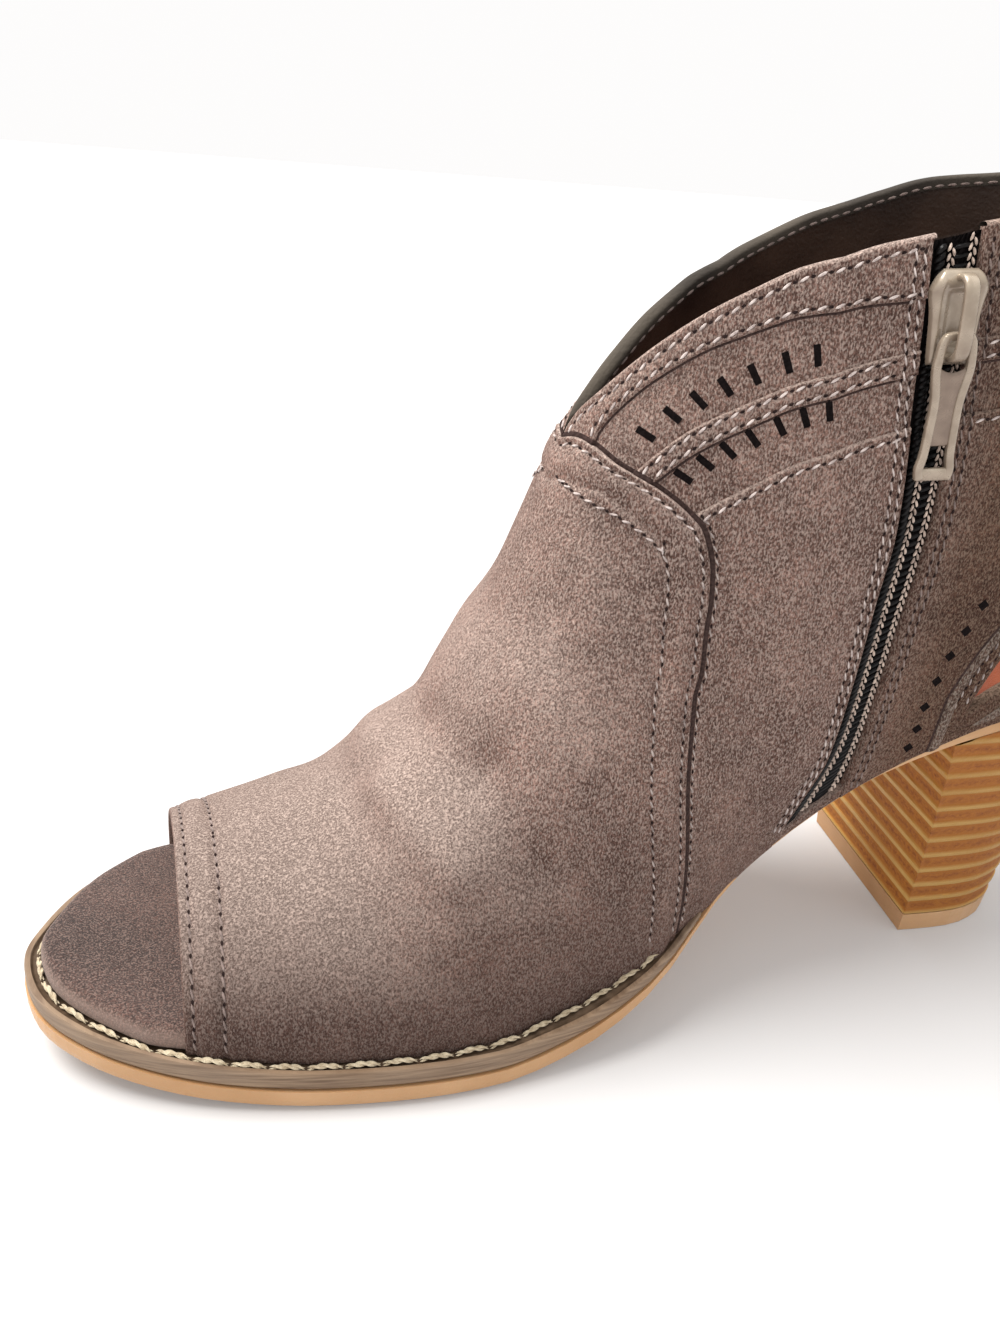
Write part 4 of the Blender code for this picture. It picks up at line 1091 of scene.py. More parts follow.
def build_panel(name, side, borders, lift, soft, grid, material, rows=(), open_cut=False):
    """A layer between four seams; soft gives how deep each free edge goes down."""
    front, rear, foot, top = borders
    rib, up = region(front, rear, foot, top, *grid)
    base = skin(side, rib, up)
    low, near = lengths(base, 1), lengths(base, 0)
    away = {"foot": low, "top": low[:, -1:] - low, "front": near, "rear": near[-1:] - near}
    height = np.full(rib.shape, float(lift))
    for key, sink in soft.items():
        height = np.minimum(height, edge_lift(away[key], lift + sink, 0.55) - sink)
    for key, centre in rows:
        height = height + groove(away[key], centre)
    net = raised(side, rib, up, height)
    faces = net_faces(net, flip=side > 0)
    if open_cut:
        inside = inside_outline(CUT_LOOP[:, :2], base[..., 0], base[..., 2], 0.0012)
        net, faces = drop_faces(net, faces, inside)
    piece(name, net, faces, material, "upper_suede")
    return rib, up


def cut_loop():
    """The cut-out's outline in the side view, closed, with its corners eased."""
    pieces = []
    for rows in (CUT_OUT_UPPER, CUT_OUT_LOWER):
        knots = np.arange(len(rows))
        values = np.array([(row.along * FOOT_LENGTH, row.rise) for row in rows])
        line = smooth_table(knots, values, np.linspace(0, len(rows) - 1, 240))
        z = seat(line[:, 0]) + line[:, 1] * SHAFT_RISE
        pieces.append(np.c_[line[:, 0] + ORIGIN[0], z][:-1])
    loop = np.concatenate(pieces)
    closed = np.concatenate([loop, loop[:1]])
    places = walk(closed, 0.5 * MM)
    loop = pick(closed, places)
    for _ in range(3):
        loop = (np.roll(loop, 1, 0) + 2 * loop + np.roll(loop, -1, 0)) / 4
    return loop


CUT_LOOP = cut_loop()


def loop_beside(side, rib, up, across):
    """Like beside, for a closed loop; positive goes out of the loop."""
    pad = 6
    order = np.arange(-pad, len(rib) + pad) % len(rib)
    moved = beside(side, rib[order], up[order], across)
    return moved[0][pad:-pad], moved[1][pad:-pad]


def open_path(rib, up, count=320):
    """The line round a cut-out, run down to the sole at its front instead of turning."""
    first = int(np.argmax(up > 0.12))
    keep = np.arange(first, len(up))
    below = np.nonzero((up[keep] < 0.01) & (keep > len(up) // 2))[0]
    if len(below):
        keep = keep[: below[0]]
    foot_up = np.linspace(FOOT_TUCK, up[first], 12)[:-1]
    rib = np.concatenate([np.full(11, rib[first]), rib[keep]])
    up = np.concatenate([foot_up, up[keep]])
    places = np.linspace(0, len(rib) - 1, count)
    return pick(rib, places), pick(up, places)


# Rows of stitches on the binding, in mm from the cut-out and over the skin, and the share
# up below which they are hidden
BINDING_ROWS = ((0.9, 0.85), (2.9, 0.80))
BINDING_ROW_FOOT = 0.085


def build_binding(side):
    """The bound edge round a cut-out: piping, two stitch rows and the turned in edge."""
    name = SIDE_NAMES[side]
    rib, up = locate(side, CUT_LOOP[:, 0], CUT_LOOP[:, 1])
    steps = np.array([0, 0.15, 0.3, 0.5, 0.7, 0.9, 1.1, 1.4, 1.8, 2.2, 2.6, 2.9, 3.1, 3.25])
    pipe = np.array([3.25, 3.35, 3.6, 3.9, 4.25, 4.6, 4.9, 5.15, 5.3, 5.4])
    lines = {}

    def place(k):
        if k not in lines:
            lines[k] = (rib, up) if k == 0 else loop_beside(side, rib, up, k)
        return lines[k]

    rows = []
    for k in steps:
        height = 0.95 + groove(k, 0.9, 0.3, 0.2) + groove(k, 2.9, 0.3, 0.25)
        height = height + puff(np.float64(k), 1.1, 2.7, 0.12)
        rows.append(raised(side, *place(float(k)), float(height)))
    base = skin(side, rib, up)
    run = unit(np.roll(base, -1, 0) - np.roll(base, 1, 0))
    normal = skin_slopes(side, rib, up)[2]
    inward = -unit(np.cross(normal, run)) * -side
    turned = rim(base, inward, normal, 0.95, -LINING_DEPTH - 0.3, 0.75, 3.2)
    net = np.concatenate([turned[::-1], np.stack(rows)])
    net = np.swapaxes(net, 0, 1)
    faces = net_faces(net, flip=side < 0, close=True)
    piece("cut_out_binding_" + name, net, faces, UPPER_SUEDE, "upper_suede")
    rows = []
    for k in pipe:
        share = (k - pipe[0]) / (pipe[-1] - pipe[0])
        height = 0.60 + 0.70 * math.sqrt(max(0.0, 1 - (2 * share - 1) ** 2))
        height -= 0.9 * (k > 5.35) + 0.3 * (k < 3.3)
        rows.append(raised(side, *open_path(*place(float(k))), height))
    net = np.swapaxes(np.stack(rows), 0, 1)
    faces = net_faces(net, flip=side < 0)
    piece("cut_out_piping_" + name, net, faces, PIPING, "upper_suede")
    # Painted shadow line beside the piping.
    threads.seam(side, *open_path(*place(5.45)), LOWER_LIFT, 0.32)
    for k, height in BINDING_ROWS:
        rib, up = place(k)
        shown = up > BINDING_ROW_FOOT
        first = int(np.argmax(~shown))
        rib, up, shown = (np.roll(values, -first) for values in (rib, up, shown))
        # The binding's rows take the darker thread, as painted shade.
        threads.row("vamp", side, rib[shown], up[shown], height, length=1.5, width=0.19)


def build_quarters():
    """Skins and layered panels behind the vamp on both sides."""
    edge = seam_curve(VAMP_EDGE)

    def under(up):
        return edge(np.clip(up, 0, 1)) - 0.45

    tuck, one, last = constant(FOOT_TUCK), constant(1), constant(LAST_RIB)
    zip_front, zip_rear = seam_curve(ZIP_FRONT), seam_curve(ZIP_REAR)
    levels = {
        "skin": (tuck, one, 0.0, {}, (), np.linspace(0, 1, 130)),
        "lower": (
            tuck,
            seam_level(LOWER_TOP),
            LOWER_LIFT,
            {"top": SINK},
            (("top", 1.5),),
            graded(62, 0.8, (0, 1), (2.4, 0.2)),
        ),
        "strip": (
            seam_level(STRIP_FOOT),
            seam_level(STRIP_TOP),
            STRIP_LIFT,
            {"foot": SINK, "top": SINK},
            (("foot", 0.95), ("top", 0.95)),
            graded(4.2, 0.3, (1.4, 0.15), (1.4, 0.15)),
        ),
        "band": (
            seam_level(BAND_EDGE),
            one,
            BAND_LIFT,
            {"foot": SINK},
            (("foot", 1.0), ("top", 1.2)),
            graded(8.5, 0.5, (1.6, 0.2), (1.8, 0.25)),
        ),
    }
    parts = (
        ("medial_front", -1, under, zip_front, {"rear": ZIP_SINK}, 62),
        ("medial_rear", -1, zip_rear, last, {"front": ZIP_SINK}, 66),
        ("lateral", 1, under, last, {}, 130),
    )
    for level, (foot, top, lift, soft, rows, upward) in levels.items():
        for name, side, front, rear, ends, length in parts:
            ends_grid = [(1.2, 0.2) if end in ends else (0, 1) for end in ("front", "rear")]
            across = graded(length, 0.85, *ends_grid)
            borders = (front, rear, foot, top)
            rib, up = build_panel(
                "_".join(("quarter", level, name)),
                side,
                borders,
                lift,
                {**soft, **ends},
                (across, upward),
                UPPER_SUEDE,
                rows,
                open_cut=level in ("skin", "lower") and name != "medial_front",
            )
            for key, centre in rows:
                column = 0 if key == "foot" else -1
                line = (rib[2:-2, column], up[2:-2, column])
                line = seen_part(side, name, *line)
                sewn = beside(side, *line, centre if key == "foot" else -centre)
                threads.row("upper", side, *sewn, lift - 0.04)
            if "foot" in soft:
                line = seen_part(side, name, rib[2:-2, 0], up[2:-2, 0])
                # Painted shadow line under the layer's lower edge.
                threads.seam(side, *beside(side, *line, -0.10), 0.02, 0.22)
            if level == "band":
                build_collar(name, side, rib[:, -1])


def seen_part(side, name, rib, up):
    """The part of a line that the vamp and the zip's stitch rows leave to be seen."""
    keep = rib > seam_rib(VAMP_EDGE, up) + 0.10
    if name == "medial_front":
        keep &= rib < seam_rib(ZIP_FRONT, up) - 0.13
    if name == "medial_rear":
        keep &= rib > seam_rib(ZIP_REAR, up) + 0.10
    return rib[keep], up[keep]


# Pitch in mm of the stitches that hold the facing
FACING_PITCH = 2.9


def build_collar(name, side, rib):
    """The band's top turned over the collar, with the facing stitched inside."""
    up = np.ones_like(rib)
    base = skin(side, rib, up)
    upright, normal = skin_slopes(side, rib, up)[1:]
    open_share = np.clip((rib - 7.9) / 0.4, 0, 1)
    bulge = 0.75 * open_share
    turned = rim(base, unit(upright), normal, BAND_LIFT, -LINING_DEPTH - 0.35, bulge, 1.7)
    first = (base + normal * (BAND_LIFT * MM + relief(base))[:, None])[None]
    net = np.swapaxes(np.concatenate([first, turned]), 0, 1)
    material = FACING if name == "lateral" else UPPER_SUEDE
    for part, start, end, paint_used in (("turn", 0, 5, material), ("facing", 4, None, FACING)):
        strip = net[:, start:end]
        faces = net_faces(strip, flip=side > 0)
        piece("_".join(("collar", part, name)), strip, faces, paint_used, "upper_suede")
    inner = base - unit(upright) * (1.05 * MM) - normal * ((LINING_DEPTH + 0.35) * MM)
    keep = rib > 8.3
    inner, out = inner[keep], -normal[keep]
    places = walk(inner, FACING_PITCH * MM, 1.0 * MM)
    middle, out = pick(inner, places), pick(out, places)
    run = unit(pick(np.gradient(inner, axis=0), places)) * (1.05 * MM)
    middle = middle + out * (0.05 * MM)
    # The facing's stitches take the deepest thread tone, as painted shade.
    threads.add("facing", capsules(middle - run, middle + run, out, 0.28 * MM, 0.24 * MM))


# Rows of stitches beside the zip, in mm from its edges
ZIP_ROWS = (1.5, 3.0)


def build_zip_rows():
    """Stitches beside the zip, and at the front of the cut-outs."""
    ups = np.linspace(0.015, 0.985, 500)
    for distance in ZIP_ROWS:
        # The rows behind the zip take the deepest thread tone, as painted shade.
        for kind, seam, way in (("upper", ZIP_FRONT, 1), ("toe", ZIP_REAR, -1)):
            rib, up = beside(-1, seam_rib(seam, ups), ups, way * distance)
            height = quarter_height(rib, up) + 0.08
            threads.row(kind, -1, rib, up, height, pitch=2.5, length=1.7, width=0.18)
    ups = np.linspace(0.02, 0.66, 300)
    for side in (-1, 1):
        rib, up = beside(side, seam_rib(VAMP_EDGE, ups), ups, -1.1)
        height = quarter_height(rib, up) + 0.02
        # The row beside the vamp's edge takes the darker thread, as painted shade.
        threads.row("vamp", side, rib, up, height, pitch=2.6, length=1.4, width=0.17)
    ups = np.linspace(0.0, 1.0, 500)
    for side in (-1, 1):
        rib, up = beside(side, seam_rib(VAMP_EDGE, ups), ups, -0.25)
        # Painted shadow line along the vamp's rear edge.
        threads.seam(side, rib, up, quarter_height(rib, up) + 0.02, 0.50)


# Sizes of the slots and diamonds in mm, and how the first and last slot of a row lean
SLOT_LENGTH, SLOT_HALF_WIDE = 3.6, 0.60
SLOT_TILTS = (1.05, 0.10)
DIAMOND_HALVES = (1.15, 1.25)
BOX_FACES = [(0, 1, 2, 3), (4, 5, 1, 0), (5, 6, 2, 1), (6, 7, 3, 2), (7, 4, 0, 3), (7, 6, 5, 4)]


def hole_places(side, rows):
    """Middles of holes on the skin, with the ways up, out and across there."""
    rib, up = np.array(rows).T
    centre = skin(side, rib, up)
    upright, normal = skin_slopes(side, rib, up)[1:]
    return centre, unit(upright), normal, unit(np.cross(upright, normal))


def build_holes():
    """The two rows of slots and the row of diamonds, as dark plates of painted shade for openings.
    """
    slots, lozenges = [], []
    for side in (-1, 1):
        for rows in (UPPER_SLOTS, LOWER_SLOTS):
            centre, upright, normal, flat = hole_places(side, rows)
            tilt = np.linspace(*SLOT_TILTS, len(rows))[:, None]
            half = unit(upright + flat * side * tilt) * (SLOT_LENGTH / 2 * MM)
            centre = centre + normal * (relief(centre)[:, None] + 0.02 * MM)
            ends = (centre - half, centre + half, normal)
            net = capsules(*ends, SLOT_HALF_WIDE * MM, 0.12 * MM, sides=4, rings=3, square=True)
            slots.append(net)
        centre, upright, normal, flat = hole_places(side, DIAMONDS)
        over = LOWER_LIFT * MM + relief(centre)[:, None]
        wide, high = (half * MM for half in DIAMOND_HALVES)
        corners = np.stack(
            [
                centre + flat * -side * a * wide + upright * u * high
                for a, u in ((1, 0), (0, 1), (-1, 0), (0, -1))
            ],
            1,
        )
        top = corners + normal[:, None] * (over[:, None] + 0.05 * MM)
        low = corners + normal[:, None] * (over[:, None] - 0.5 * MM)
        box = np.array(BOX_FACES)[:, :: -side]
        faces = (box[None] + (np.arange(len(centre)) * 8)[:, None, None]).reshape(-1, 4)
        lozenges.append((np.concatenate([top, low], 1).reshape(-1, 3), faces))
    piece("band_slots", *join_nets(slots), HOLE, "upper_suede")
    piece("diamond_holes", *join_nets(lozenges), HOLE, "upper_suede")


# Height over the floor above which the lining is the dark one all round
DARK_LINING_FROM = 0.125


def build_lining():
    """The lining inside the whole upper, open at the cut-outs."""
    for side, name in ((-1, "medial"), (1, "lateral")):
        for part, first, last, material in (
            ("front", 0.15, 12.9, LINING),
            ("heel", 12.9, LAST_RIB, HEEL_LINING),
        ):
            rib, up = np.meshgrid(
                np.linspace(first, last, 110), np.linspace(FOOT_TUCK, 1, 80), indexing="ij"
            )
            up = np.minimum(up, 0.997)
            base = skin(side, rib, up)
            net = raised(side, rib, up, -LINING_DEPTH)
            faces = net_faces(net, flip=side < 0)
            inside = inside_outline(CUT_LOOP, base[..., 0], base[..., 2], 0.0006)
            net, faces = drop_faces(net, faces, inside)
            if part == "heel":
                high = net[:, 2] > DARK_LINING_FROM
                upper_faces = faces[high[faces].all(axis=1)]
                piece("lining_collar_" + name, *used_only(net, upper_faces), LINING, "upper_suede")
                faces = faces[~high[faces].all(axis=1)]
                net, faces = used_only(net, faces)
            piece("_".join(("lining", part, name)), net, faces, material, "upper_suede")


def zip_place(share, up, height):
    """A place across and up the zip, share 0 at its front edge and 1 at its rear one."""
    rib = seam_rib(ZIP_FRONT, up) * (1 - share) + seam_rib(ZIP_REAR, up) * share
    return raised(-1, rib, up, height), skin_slopes(-1, rib, up)[2]


# Pitches along the zip in mm, and the shares across it of its two chain stitched rows
WEAVE_PITCH, COIL_PITCH, CHAIN_PITCH = 0.85, 1.25, 1.5
CHAIN_SHARES = (0.43, 0.86)


def build_zip():
    """The woven tape, the coil, two chain stitched rows and the bar tack."""
    ups = np.linspace(FOOT_TUCK, 0.995, 620)
    shares = np.linspace(-0.06, 1.06, 40)
    up, share = np.meshgrid(ups, shares, indexing="ij")
    inside_up = np.clip(up, 0, 1)
    front = seam_rib(ZIP_FRONT, inside_up.ravel()).reshape(up.shape)
    rear = seam_rib(ZIP_REAR, inside_up.ravel()).reshape(up.shape)
    rib = front * (1 - share) + rear * share
    base = skin(-1, rib, up)
    high = lengths(base, 0)
    woven = (share > 0.36) & (share < 0.80)
    height = -0.95 + np.where(woven, 0.13 * np.sin(2 * math.pi * high / WEAVE_PITCH), 0)
    height = height + 0.25 * np.exp(-(((share - 0.56) / 0.2) ** 2))
    net = raised(-1, rib, up, height)
    tape = piece("zip_weave", net, net_faces(net, flip=True), TAPE, "zip_fabric")
    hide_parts("zip_tape")

    ups = np.linspace(0.005, 0.985, 700)
    line = zip_place(0.2, ups, -0.6)[0]
    places = walk(line, COIL_PITCH * MM)
    at = pick(ups, places)
    low = zip_place(0.08, np.clip(at - 0.007, 0, 1), -0.70)
    top = zip_place(0.31, np.clip(at + 0.007, 0, 1), -0.50)
    net = capsules(low[0], top[0], low[1], 0.50 * MM, 0.42 * MM, arch=0.30 * MM)
    piece("zip_coil", *net, COIL, "zip_fabric")

    rungs = walk(line, CHAIN_PITCH * MM, 0.7 * MM)
    at = pick(ups, rungs)
    left, right = zip_place(0.48, at, -0.72), zip_place(0.84, at, -0.72)
    net = capsules(left[0], right[0], left[1], 0.40 * MM, 0.30 * MM, arch=0.12 * MM)
    piece("zip_rungs", *net, COIL, "zip_fabric")

    for share in CHAIN_SHARES:
        line = zip_place(share, ups, -0.55)[0]
        places = walk(line, CHAIN_PITCH * MM)
        at = pick(ups, places)
        middle, normal = zip_place(share, at, -0.52)
        run = unit(pick(np.gradient(line, axis=0), places))
        cross = np.cross(normal, run)
        half = run * 0.66 * MM
        for lean in (-1, 1):
            offset = cross * (0.50 * lean) * MM
            start = middle - half + offset * 1.15 + run * (0.37 * lean * MM)
            end = middle + half + offset * 0.35 + run * (0.37 * lean * MM)
            net = capsules(start, end, normal, 0.25 * MM, 0.26 * MM, arch=0.15 * MM)
            threads.add("chain", net)
    tack = []
    for height in np.linspace(0.002, 0.016, 4):
        left = zip_place(-0.16, np.array([height]), 0.05)
        right = zip_place(0.10, np.array([height]), 0.05)
        tack.append(capsules(left[0], right[0], left[1], 0.26 * MM, 0.24 * MM, arch=0.2 * MM))
    piece("zip_bar_tack", *join_nets(tack), UPPER_THREAD, "zip_fabric")
    front, rear = seam_curve(ZIP_FRONT), seam_curve(ZIP_REAR)
    borders = (
        lambda up: front(np.clip(up, 0, 1)) - 0.12,
        lambda up: rear(np.clip(up, 0, 1)) + 0.05,
        constant(FOOT_TUCK),
        constant(0.017),
    )
    grid = (np.linspace(0, 1, 60), np.linspace(0, 1, 14))
    build_panel("zip_foot", -1, borders, 0.55, {"top": ZIP_SINK}, grid, UPPER_SUEDE)


def sole_loop(levels, height, end, step=3):
    """A net round the sole from the medial waist over the toe to the lateral waist."""
    sides = []
    for side in (-1, 1):
        columns = []
        for inset, share in levels:
            curve = outline_side(side, lambda x, inset=inset: np.full_like(x, inset * MM))
            columns.append((curve, height(curve[:, 0], share)))
        keep = np.arange(0, int((columns[0][0][:, 0] < end).sum()), step)
        net = np.stack([np.c_[curve[keep], z[keep]] for curve, z in columns], axis=1)
        sides.append(net)
    net = np.concatenate([sides[0][::-1], sides[1][1:]])
    return net + ORIGIN


def welt_level(x, share):
    """Height of a welt profile point: 0 and 1 are its faces, more is mm below the top."""
    top = outsole_top(x) + GAP + welt_upright(x)
    if share <= 1:
        return outsole_top(x) + GAP + welt_upright(x) * share
    fade = np.clip(welt_upright(x) / WELT_THICK, 0, 1)
    return top - (share - 1) * MM * fade


# Profiles of the welt: how far inside the sole's edge in mm, and a height for welt_level
WELT_SIDE = [
    (0.75, 0.0), (0.45, 0.06), (0.30, 0.16), (0.30, 0.26), (0.36, 0.30), (0.30, 0.34),
    (0.28, 0.55), (0.30, 0.80), (0.38, 0.93), (0.55, 1.00), (0.80, 1.01), (1.15, 1.01),
    (1.42, 1.06),
]
WELT_TOP = [
    (1.30, 1.10), (1.45, 1.10), (1.60, 1.30), (1.75, 1.55), (1.95, 1.70),
    (2.60, 1.75), (3.60, 1.70), (4.60, 1.60), (8.00, 1.60),
]


def open_share(x):
    """1 in the toe opening and 0 where the upper stands on the sole."""
    opening = RIBS[0].foot * FOOT_LENGTH
    return np.clip((opening - 2 * MM - x) / (6 * MM), 0, 1)


def stitch_inset(x):
    """How far inside the sole's edge the welt's stitches run."""
    near = feather_inset(x) - 1.15 * MM - 0.75 * MM * open_share(x)
    return np.maximum(near, 1.9 * MM)


# Pitch and half length in mm of the welt's heavy stitches
WELT_PITCH, WELT_STITCH_HALF = 6.9, 3.25


def build_welt():
    """The welt's fibrous edge, its lip and channel, and the heavy stitches in it."""
    end = WELT_END * FOOT_LENGTH
    net = sole_loop(WELT_SIDE, welt_level, end)
    edge = piece("welt_side", net, net_faces(net), WELT_SIDE_PAINT, "welt_leather")
    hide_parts("welt")
    net = sole_loop(WELT_TOP, welt_level, end)
    piece("welt_top", net, net_faces(net), WELT_TOP_PAINT, "welt_leather")
    strands = []
    for side in (-1, 1):
        curve = outline_side(side, stitch_inset)
        keep = curve[:, 0] < 0.93 * end
        z = welt_level(curve[:, 0], 1.42) + 0.45 * MM
        line = np.c_[curve, z][keep] + ORIGIN
        places = walk(line, WELT_PITCH * MM, 3.5 * MM)
        middle = pick(line, places)
        run = unit(pick(np.gradient(line, axis=0), places))
        out = np.broadcast_to(np.array([0.0, 0.0, 1.0]), middle.shape)
        half = run * WELT_STITCH_HALF * MM
        for phase in (0, math.pi):
            strands.append(
                capsules(
                    middle - half - out * 0.25 * MM,
                    middle + half - out * 0.25 * MM,
                    out,
                    0.34 * MM,
                    0.32 * MM,
                    arch=0.50 * MM,
                    rings=14,
                    twist=(0.25 * MM, 1.5, phase),
                )
            )
    piece("welt_stitches", *join_nets(strands), WELT_THREAD, "welt_leather")


# Profile of the insole: how far inside its edge in mm, and share of its thickness
INSOLE_PROFILE = [
    (0.9, 0.00), (0.45, 0.05), (0.12, 0.16), (0.0, 0.32), (0.05, 0.50), (0.25, 0.66),
    (0.6, 0.80), (1.1, 0.90), (1.8, 0.965), (2.8, 1.00), (4.2, 1.01),
]


def shown_insole_inset(x):
    """The insole's edge: out to the stitches in the opening, inside the wall behind it."""
    opening = RIBS[0].foot * FOOT_LENGTH
    drawn_in = np.clip((x - opening + 1 * MM) / (4 * MM), 0, 1) * (UPPER_WALL + INSOLE_PLAY)
    return feather_inset(x) - 1.5 * MM * open_share(x) + drawn_in


# The padding's slight dents: waves along and across in radians a metre, and depth in mm
DENTS, DENT_DEPTH = (520, 430), 0.10


def build_insole():
    """The padded insole, rolled down to the welt in the toe opening."""
    medial, lateral = [], []
    for inset, share in INSOLE_PROFILE:
        sides = plate_level(
            lambda x, inset=inset: shown_insole_inset(x) + inset * MM,
            lambda x, share=share: seat(x) + SEAT_GAP * share + INSOLE_THICK * share,
            230,
        )
        medial.append(sides[0])
        lateral.append(sides[1])
    inner = np.linspace(0, 1, 26)[1:-1, None, None]
    across = medial[-1][None] * (1 - inner) + lateral[-1][None] * inner
    bow = np.sin(math.pi * inner[:, :, 0])
    width = np.abs(lateral[-1][:, 1] - medial[-1][:, 1])[None]
    across[:, :, 2] += bow * np.minimum(0.35 * MM, 0.02 * width)
    net = np.concatenate([np.stack(medial), across, np.stack(lateral[::-1])])
    net = np.swapaxes(net, 0, 1) + ORIGIN
    dents = np.sin(net[..., 0] * DENTS[0]) * np.sin(net[..., 1] * DENTS[1] + 1) * DENT_DEPTH * MM
    top = np.clip((np.arange(net.shape[1]) - 7) / 4, 0, 1)
    top = np.minimum(top, top[::-1])
    net[..., 2] += dents * top
    insole = piece(
        "insole_cover", net, net_faces(net, flip=True), INSOLE_COVER, "insole_suede"
    )
    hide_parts("insole")


def heel_columns(side, steps):
    """One side's heel points at the sole: their front, back, places and half widths."""
    curve = outline_side(side, lambda x: np.full_like(x, HEEL_INSET))
    skew = 0 if side < 0 else BREAST_SKEW * FOOT_LENGTH
    front, back = BREAST_TOP * FOOT_LENGTH + skew, curve[-1, 0]
    x = front + (back - front) * np.sin(np.linspace(0, math.pi / 2, steps + 1))
    y = side_at(curve, x)
    y[-1] = 0
    return front, back, x, y


def heel_points(side, depth, columns):
    """One side's heel points at a depth from 0 at the sole to 1 at the floor."""
    front, back, x, y = columns
    share = (x - front) / (back - front)
    slant = BREAST_SLANT * (1 - share) - HEEL_BACK_SLANT * share
    pinch = HEEL_WAIST * 4 * depth * (1 - depth)
    width = 1 + (HEEL_FOOT_WIDTH - 1) * depth
    far = x + slant * depth - pinch * share + pinch * (1 - share)
    y = y * width + HEEL_FOOT_SHIFT * depth - side * pinch * np.abs(y) / BALL_WIDTH
    return np.c_[far, y]


def build_heel():
    """The stacked heel: even layers with pale ridges between sunk brown bands."""
    steps, levels = 64, 230
    columns = {side: heel_columns(side, steps) for side in (-1, 1)}
    rings = []
    for share in np.linspace(0, 1, levels + 1):
        ring = []
        for side in (-1, 1):
            under = sole_underside(columns[side][2]) - GAP
            z = STACK_FOOT * (1 - share) + under * share
            ring.append(np.c_[heel_points(side, 1 - z / under, columns[side]), z])
        medial, lateral = ring
        breast = np.linspace(0, 1, 40)[1:-1, None]
        breast = lateral[0] * (1 - breast) + medial[0] * breast
        rings.append(np.concatenate([medial, lateral[-2::-1], breast]))
    net = np.stack(rings)
    ahead = np.roll(net, -1, 1) - np.roll(net, 1, 1)
    rise = np.gradient(net, axis=0)
    out = unit(np.cross(ahead, rise))
    centre = net.mean(axis=1, keepdims=True)
    if ((net - centre) * out).sum() < 0:
        out = -out
    turn = np.mod((net[..., 2] - STACK_FOOT) / STACK_PITCH, 1)
    away = np.abs(turn - 0.5)
    sunk = np.clip((STACK_EDGE - away) / 0.05 + 0.5, 0, 1)
    sunk = sunk * sunk * (3 - 2 * sunk)
    net = net + out * (-STACK_DEPTH * sunk * MM)[..., None] + ORIGIN
    net = np.swapaxes(net, 0, 1)
    faces = net_faces(net, close=True)
    heel = piece("heel_stack", net, faces, STACK, "heel_stack")
    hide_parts("heel_block")


def build_threads():
    """The meshes of all stitches and pits, one for each kind."""
    kinds = {
        "upper": ("upper_stitches", UPPER_THREAD, "upper_suede"),
        "vamp": ("vamp_stitches", SHADED_THREAD, "upper_suede"),
        "toe": ("toe_stitches", DEEP_SHADED_THREAD, "upper_suede"),
        "facing": ("facing_stitches", DEEP_SHADED_THREAD, "upper_suede"),
        "chain": ("zip_chain_stitches", CHAIN_THREAD, "zip_fabric"),
        "pits": ("stitch_pits", PIT, "upper_suede"),
        "seam_shade_lines": ("seam_shadows", SEAM_SHADOW, "upper_suede"),
    }
    for kind, nets in threads.nets.items():
        name, material, slot = kinds[kind]
        piece(name, *join_nets(nets), material, slot)


# The lean of the hanging tab, and its pivot in the slider's frame
TAB_LEAN = math.radians(4)
PIVOT = (0, -0.0030, 0.0033)


def slider_frame():
    """The slider's frame: X across the zip, Y up along it and Z out of the boot."""
    joint = frame["joints"][0]
    hinge = Vector(joint["axis"]).normalized()
    pivot = Vector(joint["pos_m"])
    tab = frame["nodes"]["zip_pull"].data.vertices
    centre = sum((v.co for v in tab), Vector()) / len(tab)
    up = pivot - centre
    up = (up - hinge * up.dot(hinge)).normalized()
    up.rotate(Quaternion(hinge, TAB_LEAN))
    turn = Matrix((-hinge, up, up.cross(hinge))).transposed().to_4x4()
    return Matrix.Translation(pivot) @ turn @ Matrix.Translation(PIVOT).inverted()


ZIP_FRAME = slider_frame()
# Half widths of the slider's plate in mm, at places along it from its foot to its crown
PLATE_HALF = [(-7.5, 3.3), (-6.9, 3.8), (0.0, 4.3), (3.4, 4.9), (4.6, 4.9), (6.4, 4.0), (7.5, 2.9)]
# The bail's middle line: along the zip and out of it, in mm from the slider's frame
BAIL_LINE = [
    (6.2, 1.6), (6.4, 3.0), (5.8, 4.4), (4.4, 5.1), (2.0, 5.3), (-1.5, 5.3), (-4.4, 5.1),
    (-5.8, 4.4), (-6.4, 3.0), (-6.2, 1.6),
]
# Half widths of the pull tab in mm, at places down from its pivot
TAB_HALF = [
    (-0.1, 2.7), (0.9, 3.2), (3.0, 3.5), (5.4, 3.6), (10.3, 2.9), (15.0, 2.9), (19.6, 3.1),
    (22.0, 3.5), (23.7, 3.3),
]
# Half width of the pull's rails, and how far below its pivot the bare panel starts and
# ends, in mm
RAIL_HALF = 0.75
PANEL_FROM, PANEL_TO = 5.6, 18.0


